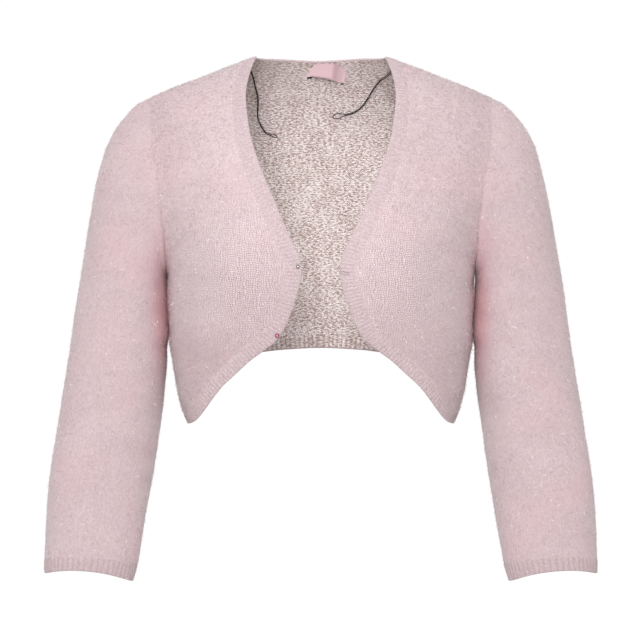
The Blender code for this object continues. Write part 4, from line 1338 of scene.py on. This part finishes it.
def add_line(name, points, thick, material):
    """A round thread or cord along some points."""
    curve = bpy.data.curves.new(name, "CURVE")
    curve.dimensions = "3D"
    curve.bevel_depth = thick / 2 * MM
    curve.bevel_resolution = 3
    curve.use_fill_caps = True
    spline = curve.splines.new("POLY")
    spline.points.add(len(points) - 1)
    for control, point in zip(spline.points, points * MM):
        control.co = (*point, 1)
    curve.materials.append(material)
    return add_object(name, curve)


# Painted shadow: dark thread at the label's lower corners.
for number, shadow_tack in enumerate(LABEL_SHADOW_TACKS):
    off = LABEL_THICK + shadow_tack.thick / 2
    ends = before_back(np.array([shadow_tack.x0, shadow_tack.x1]), np.array([shadow_tack.z0, shadow_tack.z1]), off)
    dress(add_line(f"label_tack_{number}", ends, shadow_tack.thick, black_thread), "black_cord")

# Two hanger loops of thin black cord are sewn into the shoulder seams. Each hangs down inside the back
# as two strands side by side, with a small open eye at its end.
CORD_THICK = 0.72
CORD_STRANDS = 0.8
CORD_POINTS = 17
EYE_POINTS = 6
EYE_TURN = 150
CORD_CLEAR = 0.7
CORD_CLEAR_RIDGE = 1.6
CORD_CLEAR_FADE = 15.0
CORD_OVER = 1.0
LEFT_ROUTE = [
    (77.0, -3.0),
    (73.6, -6.8),
    (66.3, -13.0),
    (57.0, -22.3),
    (43.6, -40.9),
    (37.4, -46.0),
    (31.0, -48.8),
    (22.4, -50.4),
]
RIGHT_ROUTE = [
    (75.0, -4.5),
    (71.0, -9.5),
    (68.4, -19.0),
    (65.2, -35.0),
    (65.6, -51.0),
    (60.4, -65.0),
    (56.0, -69.3),
    (52.0, -70.6),
]
Hanger = namedtuple("Hanger", "name side eye_length eye_width route")
HANGERS = [
    Hanger("hanger_loop_left", 1, 10.0, 5.5, LEFT_ROUTE),
    Hanger("hanger_loop_right", -1, 7.0, 3.0, RIGHT_ROUTE),
]


def hanger_line(hanger):
    """The loop's middle line: down from the seam, round the eye and back up, half beside itself and
    half over itself."""
    route = np.array(hanger.route, float)
    run = run_of(route)
    at = np.linspace(0, run[-1], CORD_POINTS)
    line = np.stack([smooth(run, route[:, 0], at), smooth(run, route[:, 1], at)], axis=-1)
    travel = unit(np.gradient(line, axis=0))
    beside = np.stack([travel[:, 1], -travel[:, 0]], axis=-1) * CORD_STRANDS / 2
    turn = np.radians(np.linspace(EYE_TURN, -EYE_TURN, EYE_POINTS))
    ahead = hanger.eye_length / 2 * (1 + np.cos(turn))[:, None] * travel[-1]
    eye = line[-1] + ahead + (hanger.eye_width / 2 * np.sin(turn))[:, None] * unit(beside[-1])
    loop = np.concatenate([(line + beside)[:-1], eye, (line - beside)[-2::-1]])
    places = back_places(hanger.side * loop[:, 0], loop[:, 1])
    base, normals = place_curve(places)
    clear = CORD_CLEAR + CORD_CLEAR_RIDGE * np.exp(-places[:, 1] / CORD_CLEAR_FADE)
    clear += CORD_OVER * np.clip((np.arange(len(loop)) - CORD_POINTS + 1) / EYE_POINTS, 0, 1)
    return base - normals * (WALL + clear + CORD_THICK / 2)[:, None]


for hanger in HANGERS:
    points = refined(hanger_line(hanger), FINE)
    cord = add_line(hanger.name + "_cord", points, CORD_THICK, black_thread)
    dress(cord, "black_cord", hanger.name)

# The two buttons are small glass beads with a wide hole, sewn on with pale thread through the hole. The
# upper one is clear and the lower one deep pink; the knot in the upper one is white, a painted highlight
# for the glint at its centre. A thin thread loop on the other band takes the upper.
BEAD_SIDES = 28
BEAD_TUBE_SHARE = 0.36
BEAD_STAND = 0.7
KNOT_SHARE = 1.2
MARK_RADIUS = 0.7
MARK_STAND = 0.2
Bead = namedtuple("Bead", "name x z radius colour")
BEADS = [
    Bead("bead_button_upper", 22.3, -211.5, 1.8, (0.13, 0.115, 0.12)),
    Bead("bead_button_lower", 42.2, -277.4, 2.1, (0.26, 0.015, 0.075)),
]
LOOP_THICK = 0.4
LOOP_STAND = 0.5
BAND_EDGE_X = 19.0
LOOP_ROUTE = [
    (27.5, -219.5),
    (23.0, -218.8),
    (18.8, -217.7),
    (15.4, -213.2),
    (12.4, -208.4),
    (11.6, -206.9),
    (12.5, -206.6),
    (13.6, -207.8),
    (16.8, -211.9),
    (19.8, -215.8),
    (23.0, -216.8),
    (27.3, -217.4),
]
THREAD_MARKS = [(47.1, -271.7), (40.3, -271.7)]
sewing_thread = plain_material("pale_thread", (0.72, 0.50, 0.55), 0.8)
loop_thread = plain_material("grey_thread", (0.24, 0.17, 0.175), 0.8)
# White, as a painted highlight: the glint at the centre of the upper bead.
highlight_knot = plain_material("white_highlight_thread", (0.92, 0.88, 0.88), 0.7)


def on_front(x, z, off, turned=mirrored):
    """A point that stands off the outside of a front, and the way that it faces."""
    place = locate(np.atleast_1d(np.asarray(x, float)), np.atleast_1d(np.asarray(z, float)))
    points, normals = place_curve(place)
    return turned(points + normals * off), turned(normals)


def add_round(name, centre, axis, radius, tube, material):
    """A ring with a round section, or a solid knot where the tube is as thick as the radius."""
    aside = unit(np.cross(axis, [0, 0, 1]))
    up = np.cross(axis, aside)
    round_angle = np.linspace(0, 2 * np.pi, BEAD_SIDES, endpoint=False)[:, None, None]
    tube_angle = np.linspace(0, 2 * np.pi, BEAD_SIDES // 2, endpoint=False)[None, :, None]
    outwards = np.cos(round_angle) * aside + np.sin(round_angle) * up
    away = radius - tube + tube * np.cos(tube_angle)
    points = centre + outwards * away + axis * tube * np.sin(tube_angle)
    number = np.arange(points[..., 0].size).reshape(points.shape[:2])
    after, beside = np.roll(number, -1, axis=0), np.roll(number, -1, axis=1)
    faces = np.stack([number, after, np.roll(after, -1, axis=1), beside], axis=-1).reshape(-1, 4)
    mesh = bpy.data.meshes.new(name)
    mesh.from_pydata((points.reshape(-1, 3) * MM).tolist(), [], faces.tolist())
    mesh.shade_smooth()
    mesh.materials.append(material)
    return add_object(name, mesh)


def add_knot(name, centre, axis, radius, material):
    dress(add_round(name, centre, axis, radius, radius / 2, material), "pink_rib")


for bead in BEADS:
    glass = plain_material(bead.name + "_glass", bead.colour, 0.08, Specular_IOR_Level=0.7)
    tube = bead.radius * BEAD_TUBE_SHARE
    (centre,), (axis,) = on_front(bead.x, bead.z, bead.radius * BEAD_STAND + RIB_HEIGHT)
    ring = add_round(bead.name + "_ring", centre, axis, bead.radius, tube, glass)
    dress(ring, "clear_bead" if "upper" in bead.name else "pink_bead", bead.name)
    # Painted highlight: the upper bead's knot is white, for the glint at its centre.
    thread = highlight_knot if "upper" in bead.name else sewing_thread
    add_knot(bead.name + "_knot", centre, axis, KNOT_SHARE * tube, thread)

for number, (x, z) in enumerate(THREAD_MARKS):
    (centre,), (axis,) = on_front(x, z, RIB_HEIGHT + MARK_STAND)
    add_knot(f"thread_mark_{number}", centre, axis, MARK_RADIUS, sewing_thread)

loop_route = refined(np.array(LOOP_ROUTE), FINE)
edge_x = np.maximum(loop_route[:, 0], BAND_EDGE_X)
loop_points, _ = on_front(edge_x, loop_route[:, 1], RIB_HEIGHT + LOOP_STAND, as_drawn)
loop_points[:, 0] = np.minimum(loop_points[:, 0], loop_route[:, 0])
loop = add_line("thread_loop", loop_points, LOOP_THICK, loop_thread)
dress(loop, "pink_rib")

# The floor is a plain pale one, as far below as it is under a wearer. The light is even and soft: a
# white room, one large lamp high in front, one above the camera, and a weak one that lights the back.
FLOOR_Z = -1450.0
FLOOR_SIZE = 5600.0
ROOM_LIGHT = 1.2
ROOM_SHADES = [(0.0, 0.3), (0.40, 0.58), (0.44, 0.86), (0.56, 0.86), (0.64, 0.72), (1.0, 0.55)]
AIM_Z = -230.0
Lamp = namedtuple("Lamp", "name across up distance size watts")
LAMPS = [
    Lamp("high_lamp", -8, 42, 3000.0, 1.5, 40),
    Lamp("camera_lamp", -4, 15, 3300.0, 1.0, 60),
    Lamp("back_lamp", 160, 12, 3000.0, 1.5, 22),
]

floor_mesh = bpy.data.meshes.new("floor")
half = FLOOR_SIZE / 2 * MM
corners = [(-half, -half, 0), (half, -half, 0), (half, half, 0), (-half, half, 0)]
floor_mesh.from_pydata(corners, [], [(0, 1, 2, 3)])
floor_mesh.materials.append(plain_material("pale_floor", (0.72, 0.71, 0.705), 0.9))
floor = add_object("floor", floor_mesh)
floor.location = (0, 0, FLOOR_Z * MM)

world = bpy.data.worlds.new("white_room")
world.use_nodes = True
room = Nodes(world, "Background")
height = room.maths("MULTIPLY_ADD", room.position("Generated")[2], 0.5, 0.5)
greys = [(place, (shade, shade, shade)) for place, shade in ROOM_SHADES]
room.join(room.ramp(height, *greys), room.shader.inputs["Color"])
room.shader.inputs["Strength"].default_value = ROOM_LIGHT
bpy.context.scene.world = world
bpy.context.scene.view_settings.view_transform = "Standard"

for lamp in LAMPS:
    made = bpy.data.objects.new(lamp.name, bpy.data.lights.new(lamp.name, "AREA"))
    made.data.size = lamp.size
    made.data.energy = lamp.watts
    across, up = np.radians(lamp.across), np.radians(lamp.up)
    towards = np.array([np.sin(across) * np.cos(up), -np.cos(across) * np.cos(up), np.sin(up)])
    made.location = (np.array([0, 0, AIM_Z]) + towards * lamp.distance) * MM
    made.rotation_euler = (np.pi / 2 - up, 0, across)
    bpy.context.scene.collection.objects.link(made)
